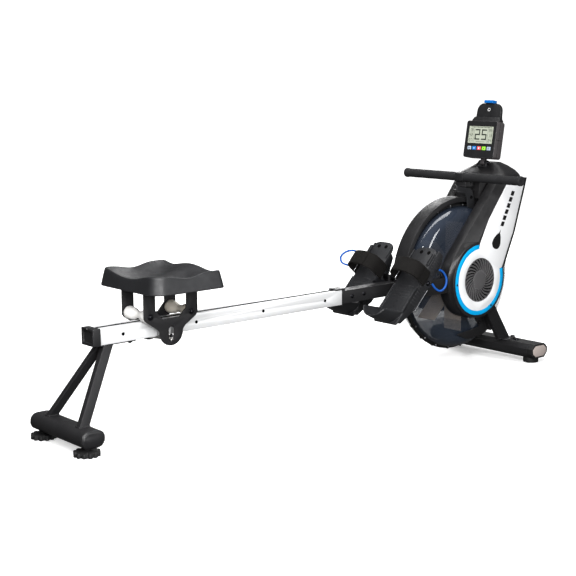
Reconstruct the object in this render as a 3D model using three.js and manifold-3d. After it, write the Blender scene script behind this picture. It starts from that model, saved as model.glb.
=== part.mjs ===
// A water rowing machine in millimetres, +Z up. X runs from the rear feet towards the water tank,
// and Y towards the rower's left. Positions are measured from the floor below the rear feet.
import * as THREE from "three";
import { mergeVertices } from "three/addons/utils/BufferGeometryUtils.js";
import Module from "manifold-3d";

const wasm = await Module();
wasm.setup();

// ---------- driving dimensions ----------
const GAP = 0.3; // clearance kept between neighbouring pieces

const FRAME = { middleX: 987.25 }; // half way between the rear feet and the transport wheels

const REAR = {
  tubeX: 8, tubeZ: 52, tubeWide: 80, tubeTall: 52, tubeHalf: 142, capEnd: 153,
  footHalf: 123, footRadius: 41, footTall: 17, footNeck: 9,
  legWide: 34, legThick: 20, legFootX: 10.5, legFootY: 88, legTopX: 150, legTopY: 14, plateTall: 4,
};
const RAIL = { start: 117.3, end: 1118, bottom: 296.2, top: 347.6, half: 25, wall: 3, slot: 4 };
const SEAT = {
  x: 357, padX: 361, bottom: 448, long: 270, wide: 330, tall: 57,
  plateIn: 57, plateOut: 61, axleOffset: 78, upperZ: 366.8, lowerZ: 286,
  flangeTop: 447.6, flangeThick: 5,
};
const TANK = {
  x: 1728.7, z: 329.9, radius: 271, half: 62.5, bandOuter: 280, bandInner: 255, bandHalf: 6, wall: 4,
  hub: 14, paddles: 8, paddleReach: 210, paddleHalf: 42, shaft: 9,
};
const ARC = { inner: 286, outer: 305, half: 30, wall: 2, from: 60, to: 186 };
// The handle's rest: a post above the arc, with two shelves and two hooks.
const REST = {
  rear: 1762, front: 1802, half: 24, low: 600, top: 690.6,
  shelfRear: 1754, shelfHalf: 32, shelves: [654, 671], shelfThick: 4,
  hookX: 1788, hookWide: 11, hookTop: 722,
};
const NECK = { half: 24, bottom: 299.5, top: 345, start: 1118.5, tongueStart: 1080 };
const SIDE = {
  inner: 86, outer: 104, armBottom: 294, armTop: 350, armStart: 1427, armEnd: 1750, wall: 2,
  hub: 20, bore: 9.4,
};
const LEG = { topX: 1750, topZ: 322, footX: 1917, footZ: 74.4, wide: 62 };
const FRONT = {
  x: 1934, z: 47, wide: 92, tall: 54, wall: 2, tubeHalf: 236, capEnd: 262, footY: 221, footRadius: 29,
  wheelX: 1998.5, wheelZ: 44, wheelRadius: 17, wheelIn: 213, wheelOut: 234, stub: 5,
};
const PEDAL = {
  tilt: 48, faceX: 1307, faceZ: 297, middleY: 108.5, half: 56.5, heelCentre: -38, toe: 238, thick: 6,
  sideDeep: 45, sideThick: 5, axleX: 1407, axleZ: 357, axleRadius: 10,
  heelEnd: -92, cupTall: 82, cupRadius: 55, cupWall: 5, cupLean: 26,
};
const STRAP = { from: 84, to: 148, half: 59, crest: 70, shoulder: 26, foot: -20, thick: 3 };
const LOOP_RADIUS = 4;
const COVER = {
  radius: 148, inner: 63.2, shoulder: { left: 70, right: 105 }, face: 129, wall: 3, top: 700,
};
const PANEL = { outer: 118, ringOuter: 134, fan: 83, thick: 3 };
const MAST = { half: 58, rear: 1802, front: 1988, bottom: 560, valley: 738, wall: 5 };
// The hood over the mast, as rounded levels from its rim up to its crown.
const HOOD = [
  { z: COVER.top + GAP, rear: 1848, front: 1996, half: 122, round: 40 },
  { z: 714, rear: 1853, front: 1989, half: 117, round: 38 },
  { z: 728, rear: 1871, front: 1988, half: 97, round: 36 },
  { z: 744, rear: 1892, front: 1976, half: 68, round: 28 },
  { z: 757, rear: 1900, front: 1954, half: 44, round: 20 },
];
const HANDLE = { x: 1767, z: 708.5, half: 290, grip: 17, bar: 11, block: 18 };
const IDLER = { x: 1838, radius: 19.5, half: 13 };
const CONSOLE = {
  x: 1857, z: 776, tilt: 9.6, tall: 142, deep: 44, half: 75, hingeX: 1893, hingeZ: 756,
  screenLow: 55, screenHigh: 122, screenHalf: 61,
  buttonUp: 37, buttonPitch: 24, buttonHalf: 9.5, buttonTall: 14,
  holderLow: 142.5, holderHigh: 214, holderHalf: 60, holderFront: 30, holderBack: 42,
};

// ---------- materials ----------
const paint = (color, roughness, metalness) => (
  new THREE.MeshStandardMaterial({ color, roughness, metalness })
);
const MATERIAL = {
  frame: paint(0x25272a, 0.5, 0.35),
  plastic: paint(0x1b1c1e, 0.55, 0),
  rail: paint(0xe4e6e8, 0.3, 0.8),
  foam: paint(0x2a2b2e, 0.8, 0),
  roller: paint(0xd9d8d2, 0.5, 0),
  rubber: paint(0x141414, 0.9, 0),
  steel: paint(0xb8bbbf, 0.3, 1),
  webbing: paint(0x191816, 0.95, 0),
  cord: paint(0x1c55c4, 0.7, 0),
  tank: paint(0x5d6b80, 0.1, 0),
  impeller: paint(0xb7ab9c, 0.5, 0),
  panel: paint(0xf2f3f4, 0.25, 0),
  accent: paint(0x17a5ea, 0.35, 0),
  vent: paint(0x3b3d40, 0.5, 0),
  screen: paint(0xb9c3ae, 0.2, 0),
  blue: paint(0x1378c8, 0.4, 0),
};
const BUTTON_COLOURS = [0xc9d4de, 0x2b7fc2, 0xe4566c, 0x8fd13f, 0xc9d4de];

// ---------- geometry helpers ----------
// The signed volume of an indexed geometry: negative when its faces point inwards.
function signedVolume(vertices, faces) {
  const [a, b, c] = [new THREE.Vector3(), new THREE.Vector3(), new THREE.Vector3()];
  let volume = 0;
  for (let i = 0; i < faces.length; i += 3) {
    a.fromArray(vertices, faces[i] * 3);
    b.fromArray(vertices, faces[i + 1] * 3);
    c.fromArray(vertices, faces[i + 2] * 3);
    volume += a.dot(b.cross(c)) / 6;
  }
  return volume;
}

// A closed three.js geometry as a manifold solid with its faces pointing out.
function solid(geometry) {
  const bare = new THREE.BufferGeometry();
  const source = geometry.index ? geometry.toNonIndexed() : geometry;
  bare.setAttribute("position", source.getAttribute("position"));
  const merged = mergeVertices(bare, 1e-3);
  const vertices = merged.attributes.position.array;
  const faces = new Uint32Array(merged.index.array);
  if (signedVolume(vertices, faces) < 0) faces.reverse();
  return new wasm.Manifold(new wasm.Mesh({ numProp: 3, vertProperties: vertices, triVerts: faces }));
}

function geometryOf(made) {
  const mesh = made.getMesh();
  const geometry = new THREE.BufferGeometry();
  geometry.setAttribute("position", new THREE.BufferAttribute(new Float32Array(mesh.vertProperties), 3));
  geometry.setIndex(new THREE.BufferAttribute(new Uint32Array(mesh.triVerts), 1));
  return geometry;
}

const joined = (...solids) => solids.reduce((all, next) => all.add(next));
const cut = (body, ...tools) => tools.reduce((left, tool) => left.subtract(tool), body);

// Extrusions of an outline of [a, b] points: across Y, X or Z.
function extrude(outline, depth, basis, holes = []) {
  const points = (line) => line.map(([a, b]) => new THREE.Vector2(a, b));
  const shape = new THREE.Shape(points(outline));
  for (const hole of holes) shape.holes.push(new THREE.Path(points(hole)));
  const geometry = new THREE.ExtrudeGeometry(shape, { depth, bevelEnabled: false });
  return geometry.applyMatrix4(basis);
}
const axes = (...ways) => new THREE.Matrix4().makeBasis(...ways.map((way) => new THREE.Vector3(...way)));
const ALONG_Y = axes([1, 0, 0], [0, 0, 1], [0, -1, 0]);
const ALONG_X = axes([0, 1, 0], [0, 0, 1], [1, 0, 0]);
const ALONG_Z = axes([1, 0, 0], [0, 1, 0], [0, 0, 1]);
const across = (outline, y0, y1, holes) => (
  solid(extrude(outline, y1 - y0, ALONG_Y, holes).translate(0, y1, 0))
);
const lengthways = (outline, x0, x1) => solid(extrude(outline, x1 - x0, ALONG_X).translate(x0, 0, 0));
const upright = (outline, z0, z1) => solid(extrude(outline, z1 - z0, ALONG_Z).translate(0, 0, z0));

function box(x0, x1, y0, y1, z0, z1) {
  const geometry = new THREE.BoxGeometry(x1 - x0, y1 - y0, z1 - z0);
  return solid(geometry.translate((x0 + x1) / 2, (y0 + y1) / 2, (z0 + z1) / 2));
}

// A round bar between two points.
function rod(from, to, radius, sides = 20) {
  const [a, b] = [new THREE.Vector3(...from), new THREE.Vector3(...to)];
  const geometry = new THREE.CylinderGeometry(radius, radius, a.distanceTo(b), sides);
  const way = b.clone().sub(a).normalize();
  const turn = new THREE.Quaternion().setFromUnitVectors(new THREE.Vector3(0, 1, 0), way);
  const middle = a.add(b).multiplyScalar(0.5);
  return solid(geometry.applyQuaternion(turn).translate(middle.x, middle.y, middle.z));
}

// A solid of revolution about a line through (x, z) along Y; the profile holds [radius, y] points.
function turned(profile, x, z, sides) {
  const points = profile.map(([radius, y]) => new THREE.Vector2(radius, y));
  return solid(new THREE.LatheGeometry(points, sides).translate(x, 0, z));
}
const closed = (profile) => [...profile, profile[0]];

// A solid through outlines with equal point counts, each placed by its own function.
function loft(outlines, places) {
  const count = outlines[0].length;
  const positions = outlines.flatMap((outline, i) => outline.flatMap(([a, b]) => places[i](a, b)));
  const faces = [];
  for (let i = 0; i + 1 < outlines.length; i += 1) {
    for (let j = 0; j < count; j += 1) {
      const [p, q] = [i * count + j, i * count + ((j + 1) % count)];
      faces.push(p, q, q + count, p, q + count, p + count);
    }
  }
  for (const [level, flip] of [[0, true], [outlines.length - 1, false]]) {
    const contour = outlines[level].map(([a, b]) => new THREE.Vector2(a, b));
    for (const face of THREE.ShapeUtils.triangulateShape(contour, [])) {
      const [a, b, c] = face.map((k) => k + level * count);
      faces.push(a, flip ? c : b, flip ? b : c);
    }
  }
  const geometry = new THREE.BufferGeometry();
  geometry.setAttribute("position", new THREE.Float32BufferAttribute(positions, 3));
  geometry.setIndex(faces);
  return solid(geometry);
}

const radians = THREE.MathUtils.degToRad;

// Points on an arc of a circle, in degrees, both ends included.
function arc(x, z, radius, from, to, steps) {
  return Array.from({ length: steps + 1 }, (_, i) => {
    const angle = radians(from + ((to - from) * i) / steps);
    return [x + radius * Math.cos(angle), z + radius * Math.sin(angle)];
  });
}
const circle = (x, z, radius, steps = 32) => arc(x, z, radius, 0, 360 - 360 / steps, steps - 1);

// A rounded rectangle outline about (x, z).
function rounded(x, z, halfWide, halfTall, radius, steps = 4) {
  const [w, h] = [halfWide - radius, halfTall - radius];
  return [
    ...arc(x + w, z + h, radius, 0, 90, steps), ...arc(x - w, z + h, radius, 90, 180, steps),
    ...arc(x - w, z - h, radius, 180, 270, steps), ...arc(x + w, z - h, radius, 270, 360, steps),
  ];
}

// ---------- the assembly ----------
const machine = new THREE.Group();
machine.position.x = -FRAME.middleX;

function part(name, body, material) {
  const mesh = new THREE.Mesh(geometryOf(body), material);
  mesh.name = name;
  machine.add(mesh);
}

// Builds a piece for each side: side is +1 on the rower's left and -1 on the right.
function bothSides(build) {
  build("left", 1);
  build("right", -1);
}
const mirrored = (y0, y1, side) => (side > 0 ? [y0, y1] : [-y1, -y0]);

// ---------- rear support ----------
function rearSupport() {
  const section = rounded(REAR.tubeX, REAR.tubeZ, REAR.tubeWide / 2, REAR.tubeTall / 2, 24, 5);
  const bore = rounded(REAR.tubeX, REAR.tubeZ, REAR.tubeWide / 2 - 2, REAR.tubeTall / 2 - 2, 22, 5);
  part("rear_stabilizer", across(section, -REAR.tubeHalf, REAR.tubeHalf, [bore]), MATERIAL.frame);

  bothSides((label, side) => {
    const face = rounded(REAR.tubeX, REAR.tubeZ, REAR.tubeWide / 2 - 6, REAR.tubeTall / 2 - 6, 20, 5);
    const [inner, rim, end] = [REAR.tubeHalf + GAP, REAR.capEnd - 5, REAR.capEnd].map((y) => side * y);
    const at = (y) => (x, z) => [x, y, z];
    const cap = loft([section, section, face], [at(inner), at(rim), at(end)]);
    part(`rear_end_cap_${label}`, cap, MATERIAL.plastic);

    const lobes = Array.from({ length: 48 }, (_, i) => {
      const angle = (i / 48) * 2 * Math.PI;
      const radius = REAR.footRadius - 2.5 + 2.5 * Math.cos(8 * angle);
      return [radius * Math.cos(angle), side * REAR.footHalf + radius * Math.sin(angle)];
    });
    const neckTop = REAR.tubeZ - REAR.tubeTall / 2 - GAP;
    const neck = rod([0, side * REAR.footHalf, 1], [0, side * REAR.footHalf, neckTop], REAR.footNeck, 16);
    part(`leveling_foot_${label}`, joined(upright(lobes, 0, REAR.footTall), neck), MATERIAL.rubber);

    part(`rear_leg_${label}`, rearLeg(side), MATERIAL.frame);
  });
}

// A raked rectangular tube, open at the floor end, with its half of the rail's mounting plate.
function rearLeg(side) {
  const [low, high] = [REAR.tubeZ + REAR.tubeTall / 2 + GAP, RAIL.bottom - GAP];
  const tube = (inset, top) => {
    const [w, t] = [REAR.legWide / 2 - inset, REAR.legThick / 2 - inset];
    const outline = [[-w, -t], [w, -t], [w, t], [-w, t]];
    const lift = (z) => (z - low) / (high - low);
    const at = (z) => (a, b) => [
      a + REAR.legFootX + (REAR.legTopX - REAR.legFootX) * lift(z),
      b + side * (REAR.legFootY + (REAR.legTopY - REAR.legFootY) * lift(z)),
      z,
    ];
    return loft([outline, outline], [at(inset ? low - 1 : low), at(top)]);
  };
  const plate = box(112, 250, ...mirrored(GAP, 22, side), high - REAR.plateTall, high);
  const body = joined(cut(tube(0, high), tube(2, high - REAR.plateTall - 4)), plate);
  const farSide = box(0, 300, ...mirrored(-60, GAP, side), low, high + 1);
  return cut(body, farSide);
}

// ---------- rail ----------
function rail() {
  const { half, wall, bottom, top, slot } = RAIL;
  const section = [
    [-half, bottom], [half, bottom], [half, top], [slot, top], [slot, top - wall],
    [half - wall, top - wall], [half - wall, bottom + wall], [-half + wall, bottom + wall],
    [-half + wall, top - wall], [-slot, top - wall], [-slot, top], [-half, top],
  ];
  const holes = [0, 1, 2, 3].map((i) => {
    const x = 202.1 + 277.8 * i;
    return rod([x, -half - 1, 321.9], [x, -half + wall + 1, 321.9], 3, 10);
  });
  part("rail", cut(lengthways(section, RAIL.start, RAIL.end), ...holes), MATERIAL.rail);

  const bumper = box(RAIL.start - 28, RAIL.start - GAP, -33, 33, bottom, top + 2);
  const recess = box(RAIL.start - 29, RAIL.start - 22, -26, 26, bottom + 9, top - 6);
  const notch = box(RAIL.start - 29, RAIL.start, -slot, slot, top - wall, top + 3);
  part("rail_end_cap", cut(bumper, recess, notch), MATERIAL.plastic);
}

// ---------- seat carriage ----------
function carriagePlate(side) {
  const { x, upperZ, lowerZ, plateIn, plateOut, flangeTop, flangeThick } = SEAT;
  const left = [[-102, flangeTop], [-102, 362], [-94, 352], [-53, 326]];
  const right = left.map(([dx, z]) => [-dx, z]).reverse();
  const underFlange = flangeTop - flangeThick;
  const window = [[59, underFlange], [59, 384], [33, 356], [-33, 356], [-59, 384], [-59, underFlange]];
  const shift = (outline) => outline.map(([dx, z]) => [x + dx, z]);
  const lobe = arc(0, 312, 44, 176, 364, 14);
  const outline = shift([...left, ...lobe, ...right]);
  const slot = shift([...arc(0, 317, 11, 0, 180, 8), ...arc(0, lowerZ + 1, 7, 180, 360, 6)]);
  const bores = [-SEAT.axleOffset, SEAT.axleOffset].map((dx) => circle(x + dx, upperZ, 5.2, 14));
  const plate = across(outline, ...mirrored(plateIn, plateOut, side), [shift(window), slot, ...bores]);
  const flange = box(x - 102, x + 102, ...mirrored(20, plateOut, side), underFlange, flangeTop);
  return joined(plate, flange);
}

// A waisted roller with stub axles: flare is its end radius, seat the radius where it meets the rail's edge.
function roller(x, z, flare, seat, waist, axle) {
  const end = -SEAT.plateOut - 2;
  const half = [
    [0, end], [axle, end], [axle, -55], [flare, -54.5], [flare, -46], [seat, -RAIL.half], [waist, -11],
  ];
  const mirrorHalf = half.map(([radius, y]) => [radius, -y]).reverse();
  return turned([...half, ...mirrorHalf], x, z, 18);
}

function seat() {
  const { x, padX, bottom, long, wide, tall } = SEAT;
  const skirt = rounded(padX, 0, long / 2, wide / 2, 34, 5);
  const inset = (by) => rounded(padX, 0, long / 2 - by, wide / 2 - by, 34 - by / 2, 5);
  const level = (z) => (a, b) => [a, b, z];
  const heights = [bottom, bottom + tall * 0.8, bottom + tall];
  part("seat_pad", loft([skirt, inset(8), inset(20)], heights.map(level)), MATERIAL.foam);
  bothSides((label, side) => part(`carriage_plate_${label}`, carriagePlate(side), MATERIAL.frame));
  part("upper_roller_rear", roller(x - SEAT.axleOffset, SEAT.upperZ, 21.8, 18.6, 12, 5), MATERIAL.roller);
  part("upper_roller_front", roller(x + SEAT.axleOffset, SEAT.upperZ, 21.8, 18.6, 12, 5), MATERIAL.roller);
  part("lower_roller", roller(x, SEAT.lowerZ, 12.5, 9.8, 8, 4), MATERIAL.roller);
}

// ---------- front frame ----------
function handleRest() {
  const { rear, front, half, low, top, shelfRear, shelfHalf, shelves, shelfThick } = REST;
  const shelf = (z) => box(shelfRear, front, -shelfHalf, shelfHalf, z, z + shelfThick);
  const post = joined(box(rear, front, -half, half, low, top), ...shelves.map(shelf));
  const underside = rod([TANK.x, -40, TANK.z], [TANK.x, 40, TANK.z], ARC.outer - 1, 96);
  const hooks = [-1, 1].map((side) => (
    box(
      REST.hookX, REST.hookX + REST.hookWide, ...mirrored(half - 6, shelfHalf, side),
      shelves[1] + 1, REST.hookTop,
    )
  ));
  return joined(cut(post, underside), ...hooks);
}

function frontFrame() {
  const ring = (inner, outer, from, to) => [
    ...arc(TANK.x, TANK.z, outer, from, to, 28), ...arc(TANK.x, TANK.z, inner, to, from, 28),
  ];
  const { inner, outer, wall, from, to } = ARC;
  const shell = across(ring(inner, outer, from, to), -ARC.half, ARC.half);
  const hollow = across(ring(inner + wall, outer - wall, from - 2, to + 2), -ARC.half + wall, ARC.half - wall);
  part("main_arc", cut(joined(shell, handleRest()), hollow), MATERIAL.frame);

  const { half, bottom, top, start, tongueStart } = NECK;
  const neck = box(start, 1430, -half, half, bottom, top);
  const bore = box(tongueStart - 1, 1432, -half + 4, half - 4, bottom + 4, top - 4);
  const tongue = box(tongueStart, start + 1, -half + 2.5, half - 2.5, bottom + 0.2, top - 0.9);
  const stop = joined(
    box(1096, start + 20, -20, 20, RAIL.top + GAP, RAIL.top + 5),
    box(start, start + 20, -20, 20, top - 1, RAIL.top + 2),
  );
  const lugs = [-1, 1].map((side) => box(1394, 1416, ...mirrored(12, 22, side), top - 1, 368));
  const nose = rod([TANK.x, -60, TANK.z], [TANK.x, 60, TANK.z], ARC.outer + GAP, 128);
  const { axleX, axleZ, axleRadius } = PEDAL;
  const pivot = rod([axleX, -60, axleZ], [axleX, 60, axleZ], axleRadius + GAP);
  part("neck_bracket", cut(joined(neck, tongue, stop, ...lugs), bore, nose, pivot), MATERIAL.frame);

  const reach = PEDAL.middleY + PEDAL.half - PEDAL.sideThick - 1;
  part("pedal_axle", rod([axleX, -reach, axleZ], [axleX, reach, axleZ], axleRadius), MATERIAL.steel);
}

// The plate that reaches from the raked leg along the underside of the tank's face.
const BRACKET = [
  [1780, 172], [1836, 172], [1860, 114], [1847, 106], [1820, 95],
  [1741, 90], [1679, 116], [1700, 119], [1808, 130],
];
const BRACKET_WEB = [[1826, 170], [1842, 170], [1862, 118], [1854, 112]]; // its tie to the leg

// One side of the fork that holds the tank: a level arm, a raked leg and the block that ties them to the arc.
function sideFrame(side) {
  const [y0, y1] = mirrored(SIDE.inner, SIDE.outer, side);
  const w = LEG.wide / 2;
  const leg = (inset, drop) => [
    [LEG.topX - w + inset, LEG.topZ], [LEG.footX - w + inset, LEG.footZ - drop],
    [LEG.footX + w - inset, LEG.footZ - drop], [LEG.topX + w - inset, LEG.topZ],
  ];
  const wall = SIDE.wall;
  const arm = box(SIDE.armStart, SIDE.armEnd + w, y0, y1, SIDE.armBottom, SIDE.armTop);
  const armBore = box(
    SIDE.armStart - 1, SIDE.armEnd + w - wall, y0 + wall, y1 - wall, SIDE.armBottom + wall, SIDE.armTop - wall,
  );
  const legBore = across(leg(wall, 1), y0 + wall, y1 - wall);
  const tieY = mirrored(ARC.half + GAP, SIDE.inner + 1, side);
  const tie = box(SIDE.armStart, SIDE.armStart + 27, ...tieY, SIDE.armBottom + 6, SIDE.armTop - 6);
  const hub = rod([TANK.x, y0, TANK.z], [TANK.x, y1, TANK.z], SIDE.hub);
  const bore = rod([TANK.x, y0 - 1, TANK.z], [TANK.x, y1 + 1, TANK.z], SIDE.bore);
  const bracket = joined(
    across(BRACKET, ...mirrored(TANK.half + 1.5, TANK.half + 5.5, side)),
    across(BRACKET_WEB, ...mirrored(TANK.half + 4, SIDE.inner + 1, side)),
  );
  return cut(joined(cut(joined(arm, across(leg(0, 0), y0, y1)), armBore, legBore), tie, hub, bracket), bore);
}

function frontSupport() {
  bothSides((label, side) => part(`side_frame_${label}`, sideFrame(side), MATERIAL.frame));

  // The stabilizer's section: a rectangle with its four corners cut off.
  const { x, z, wide, tall, wall, tubeHalf, capEnd, footY, footRadius } = FRONT;
  const section = (inset) => {
    const [w, h, flat, top] = [wide / 2 - inset, tall / 2 - inset, 10, 28 - inset / 2];
    const upper = [[w, flat], [top, h], [-top, h], [-w, flat]];
    const corners = [...upper, ...upper.map(([a, b]) => [-a, -b])];
    return corners.map(([a, b]) => [x + a, z + b]);
  };
  part("front_stabilizer", across(section(0), -tubeHalf, tubeHalf, [section(wall)]), MATERIAL.frame);

  const underside = z - tall / 2 - GAP;
  bothSides((label, side) => {
    const block = (x0, x1, y0, y1, z0, z1) => box(x0, x1, ...mirrored(y0, y1, side), z0, z1);
    const cap = across(section(0), ...mirrored(tubeHalf + GAP, capEnd, side));
    const sole = rod([x, side * footY, 0], [x, side * footY, underside], footRadius, 28);
    const bridge = block(x - 14, x + 14, footY, tubeHalf + 8, 8, underside);
    const heel = block(x - 14, x + 14, tubeHalf + 1, tubeHalf + 8, 8, 30);
    const lug = block(x + 30, FRONT.wheelX + 7, tubeHalf + 1, tubeHalf + 7, 36, 52);
    const onAxle = (y0, y1, radius, sides) => (
      rod([FRONT.wheelX, y0, FRONT.wheelZ], [FRONT.wheelX, y1, FRONT.wheelZ], radius, sides)
    );
    const stub = onAxle(side * (FRONT.wheelIn - 2), side * (tubeHalf + 4), FRONT.stub, 16);
    part(`front_end_cap_${label}`, joined(cap, sole, bridge, heel, lug, stub), MATERIAL.rubber);

    const [y0, y1] = mirrored(FRONT.wheelIn, FRONT.wheelOut, side);
    const wheel = onAxle(y0, y1, FRONT.wheelRadius, 32);
    const hole = onAxle(y0 - 1, y1 + 1, FRONT.stub + 0.4, 16);
    part(`transport_wheel_${label}`, cut(wheel, hole), MATERIAL.rubber);
  });
}

// ---------- pedals ----------
// The pedal's own directions: u from heel to toe, w out of the sole towards the rower, v along Y.
const TOE = [Math.cos(radians(PEDAL.tilt)), 0, Math.sin(radians(PEDAL.tilt))];
const OUT = [-Math.sin(radians(PEDAL.tilt)), 0, Math.cos(radians(PEDAL.tilt))];
function pedalPlace(side) {
  const place = axes(TOE, [0, 1, 0], OUT);
  return place.setPosition(PEDAL.faceX, side * PEDAL.middleY, PEDAL.faceZ);
}
const onPedalAt = (u, v, w, side) => new THREE.Vector3(u, v, w).applyMatrix4(pedalPlace(side)).toArray();
const onPedal = (outline, w0, w1, side, holes) => solid(
  extrude(outline, w1 - w0, ALONG_Z, holes).translate(0, 0, w0).applyMatrix4(pedalPlace(side)),
);
const pedalBlock = (u0, u1, v0, v1, w0, w1, side) => (
  onPedal([[u0, v0], [u1, v0], [u1, v1], [u0, v1]], w0, w1, side)
);

function pedal(side) {
  const { half, toe, heelCentre, heelEnd, thick, sideDeep, sideThick } = PEDAL;
  const sole = [
    [heelEnd + 5, half], [heelEnd, half - 5], [heelEnd, -half + 5], [heelEnd + 5, -half],
    [toe - 26, -half], [toe - 10, -half + 12], [toe, -half + 34],
    [toe, half - 34], [toe - 10, half - 12], [toe - 26, half],
  ];
  const peg = [-18, 18].map((v) => circle(toe - 20, v, 4, 12));
  const plate = onPedal(sole, -thick, 0, side, peg);
  const flanks = [-1, 1].map((edge) => {
    const [v0, v1] = mirrored(half - sideThick, half, edge);
    const bore = [circle(111.5, -34.2, PEDAL.axleRadius + 0.4, 20)];
    const boss = [[92, -sideDeep - 3], [131, -sideDeep - 3]];
    const end = edge === side
      ? [[toe - 26, -sideDeep], [toe - 4, -sideDeep + 16], [toe - 4, -thick + 1]]
      : [[toe - 48, -25], [toe - 40, -thick + 1]];
    const outline = [[heelEnd + 8, -thick + 1], [heelEnd + 16, -18], [4, -sideDeep], ...boss, ...end];
    const flank = extrude(outline, v1 - v0, axes([1, 0, 0], [0, 0, 1], [0, -1, 0]), bore).translate(0, v1, 0);
    return solid(flank.applyMatrix4(pedalPlace(side)));
  });
  const vent = pedalBlock(heelCentre - 96, heelCentre - 50, -14, 22, 50, 66, side);
  return cut(joined(plate, ...flanks, heelCup(side)), vent);
}

// The scoop round the heel: it leans back as it rises, and its sides fall steeply to the sole.
function heelCup(side) {
  const { heelCentre, thick, cupTall, cupRadius, cupWall, cupLean } = PEDAL;
  const bowl = (grow, low, high) => {
    const levels = [low, high / 2, high];
    const outlines = levels.map((w) => [
      ...arc(heelCentre - (cupLean * w) / cupTall, 0, cupRadius + grow, 90, 270, 14),
      [heelCentre + 20, -cupRadius - grow], [heelCentre + 20, cupRadius + grow],
    ]);
    return loft(outlines, levels.map((w) => (u, v) => onPedalAt(u, v, w, side)));
  };
  const sideCut = [
    [heelCentre - 44, cupTall + 6], [heelCentre, 4], [heelCentre + 22, 4], [heelCentre + 22, cupTall + 6],
  ];
  const slope = extrude(sideCut, 140, axes([1, 0, 0], [0, 0, 1], [0, -1, 0])).translate(0, 70, 0);
  const shell = cut(bowl(0, -thick / 2, cupTall), bowl(-cupWall, -thick, cupTall + 1));
  return cut(shell, solid(slope.applyMatrix4(pedalPlace(side))));
}

// The webbing band that arches over the foot, ending on the pedal's two flanks.
function footStrap(side) {
  const { half, crest, shoulder, foot, thick, from, to } = STRAP;
  const arch = (grow) => Array.from({ length: 17 }, (_, i) => {
    const angle = Math.PI * (i / 16);
    return [(half + grow) * Math.cos(angle), shoulder + (crest - shoulder + grow) * Math.sin(angle)];
  });
  const outline = [
    [half + thick, foot], ...arch(thick), [-half - thick, foot],
    [-half, foot], ...arch(0).reverse(), [half, foot],
  ];
  const band = extrude(outline, to - from, axes([0, 1, 0], [0, 0, 1], [1, 0, 0])).translate(from, 0, 0);
  return solid(band.applyMatrix4(pedalPlace(side)));
}

// A pull loop's cord: its route in pedal directions (u, v out from the pedal's middle, w).
const LOOP_ROUTE = {
  left: [
    [158, 69, 20], [164, 92, 30], [148, 114, 42], [120, 122, 46], [102, 112, 36], [104, 88, 18], [110, 69, 8],
  ],
  right: [
    [178, 68, -40], [182, 70, -60], [172, 73, -88], [146, 75, -100],
    [122, 73, -92], [114, 70, -66], [118, 68, -44],
  ],
};
function pullLoop(label, side) {
  const place = pedalPlace(side);
  const points = LOOP_ROUTE[label].map(([u, v, w]) => new THREE.Vector3(u, side * v, w).applyMatrix4(place));
  const path = new THREE.CatmullRomCurve3(points, false, "centripetal");
  const section = new THREE.Shape(circle(0, 0, LOOP_RADIUS, 8).map(([a, b]) => new THREE.Vector2(a, b)));
  return solid(new THREE.ExtrudeGeometry(section, { steps: 20, extrudePath: path, bevelEnabled: false }));
}

function pedals() {
  bothSides((label, side) => {
    part(`pedal_${label}`, pedal(side), MATERIAL.plastic);
    part(`foot_strap_${label}`, footStrap(side), MATERIAL.webbing);
    part(`pull_loop_${label}`, pullLoop(label, side), MATERIAL.cord);
  });
}

// ---------- water tank and drive ----------
function tank() {
  const { x, z, radius, half, wall, bandHalf, bandInner, bandOuter, hub: bore } = TANK;
  const outer = [
    [radius, bandHalf + GAP], [radius, half - 12], [radius - 4, half - 5], [radius - 12, half - 1],
    [radius - 32, half], [bore, half],
  ];
  const inner = [
    [bore, half - wall], [radius - 33, half - wall],
    [radius - wall, half - 15], [radius - wall, bandHalf + GAP],
  ];
  bothSides((label, side) => {
    const profile = closed([...outer, ...inner].map(([r, y]) => [r, side * y]));
    part(`tank_shell_${label}`, turned(profile, x, z, 40), MATERIAL.tank);
  });
  const band = closed([
    [bandInner, -bandHalf], [bandOuter, -bandHalf], [bandOuter, bandHalf], [bandInner, bandHalf],
  ]);
  part("tank_band", turned(band, x, z, 44), MATERIAL.rubber);

  const { paddles, paddleReach, paddleHalf, shaft: shaftRadius } = TANK;
  const blade = box(28, paddleReach, -paddleHalf, paddleHalf, -1.5, 1.5);
  const blades = Array.from({ length: paddles }, (_, i) => (
    blade.rotate([0, (i * 360) / paddles, 0]).translate([x, 0, z])
  ));
  const shaft = rod([x, -124, z], [x, 102, z], shaftRadius);
  const hub = rod([x, -paddleHalf, z], [x, paddleHalf, z], 32, 24);
  part("impeller", joined(shaft, hub, ...blades), MATERIAL.impeller);

  const drum = closed([
    [9.4, -122], [46, -122], [46, -119], [38, -118], [38, -110], [46, -109], [46, -106], [9.4, -106],
  ]);
  part("drive_drum", turned(drum, TANK.x, TANK.z, 20), MATERIAL.plastic);
}

// ---------- covers ----------
// The side cover's outline: a drum round the hub that runs up into a blade. The blade's rear edge is
// straight over the cover's depth and bevelled towards its face.
const BLADE_REAR = [[1860, COVER.top], [1800, 633], [1740, 565], [1660, 475]];
const BLADE_FACE = [[1889, COVER.top], [1870, 677], [1775, 555], [1722, 476]];
const BLADE_FRONT = [[1931, 494], [1986, 662], [1997, COVER.top]];
function coverOutline(rear, radius, start, inset, top) {
  const clip = ([x, z]) => [x, Math.min(z, top)];
  return [
    ...rear.map(([x, z]) => clip([x + inset * 1.4, z])),
    ...arc(TANK.x, TANK.z, radius - inset, start, 372, 36),
    ...BLADE_FRONT.map(([x, z]) => clip([x - inset, z])),
  ];
}

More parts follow.
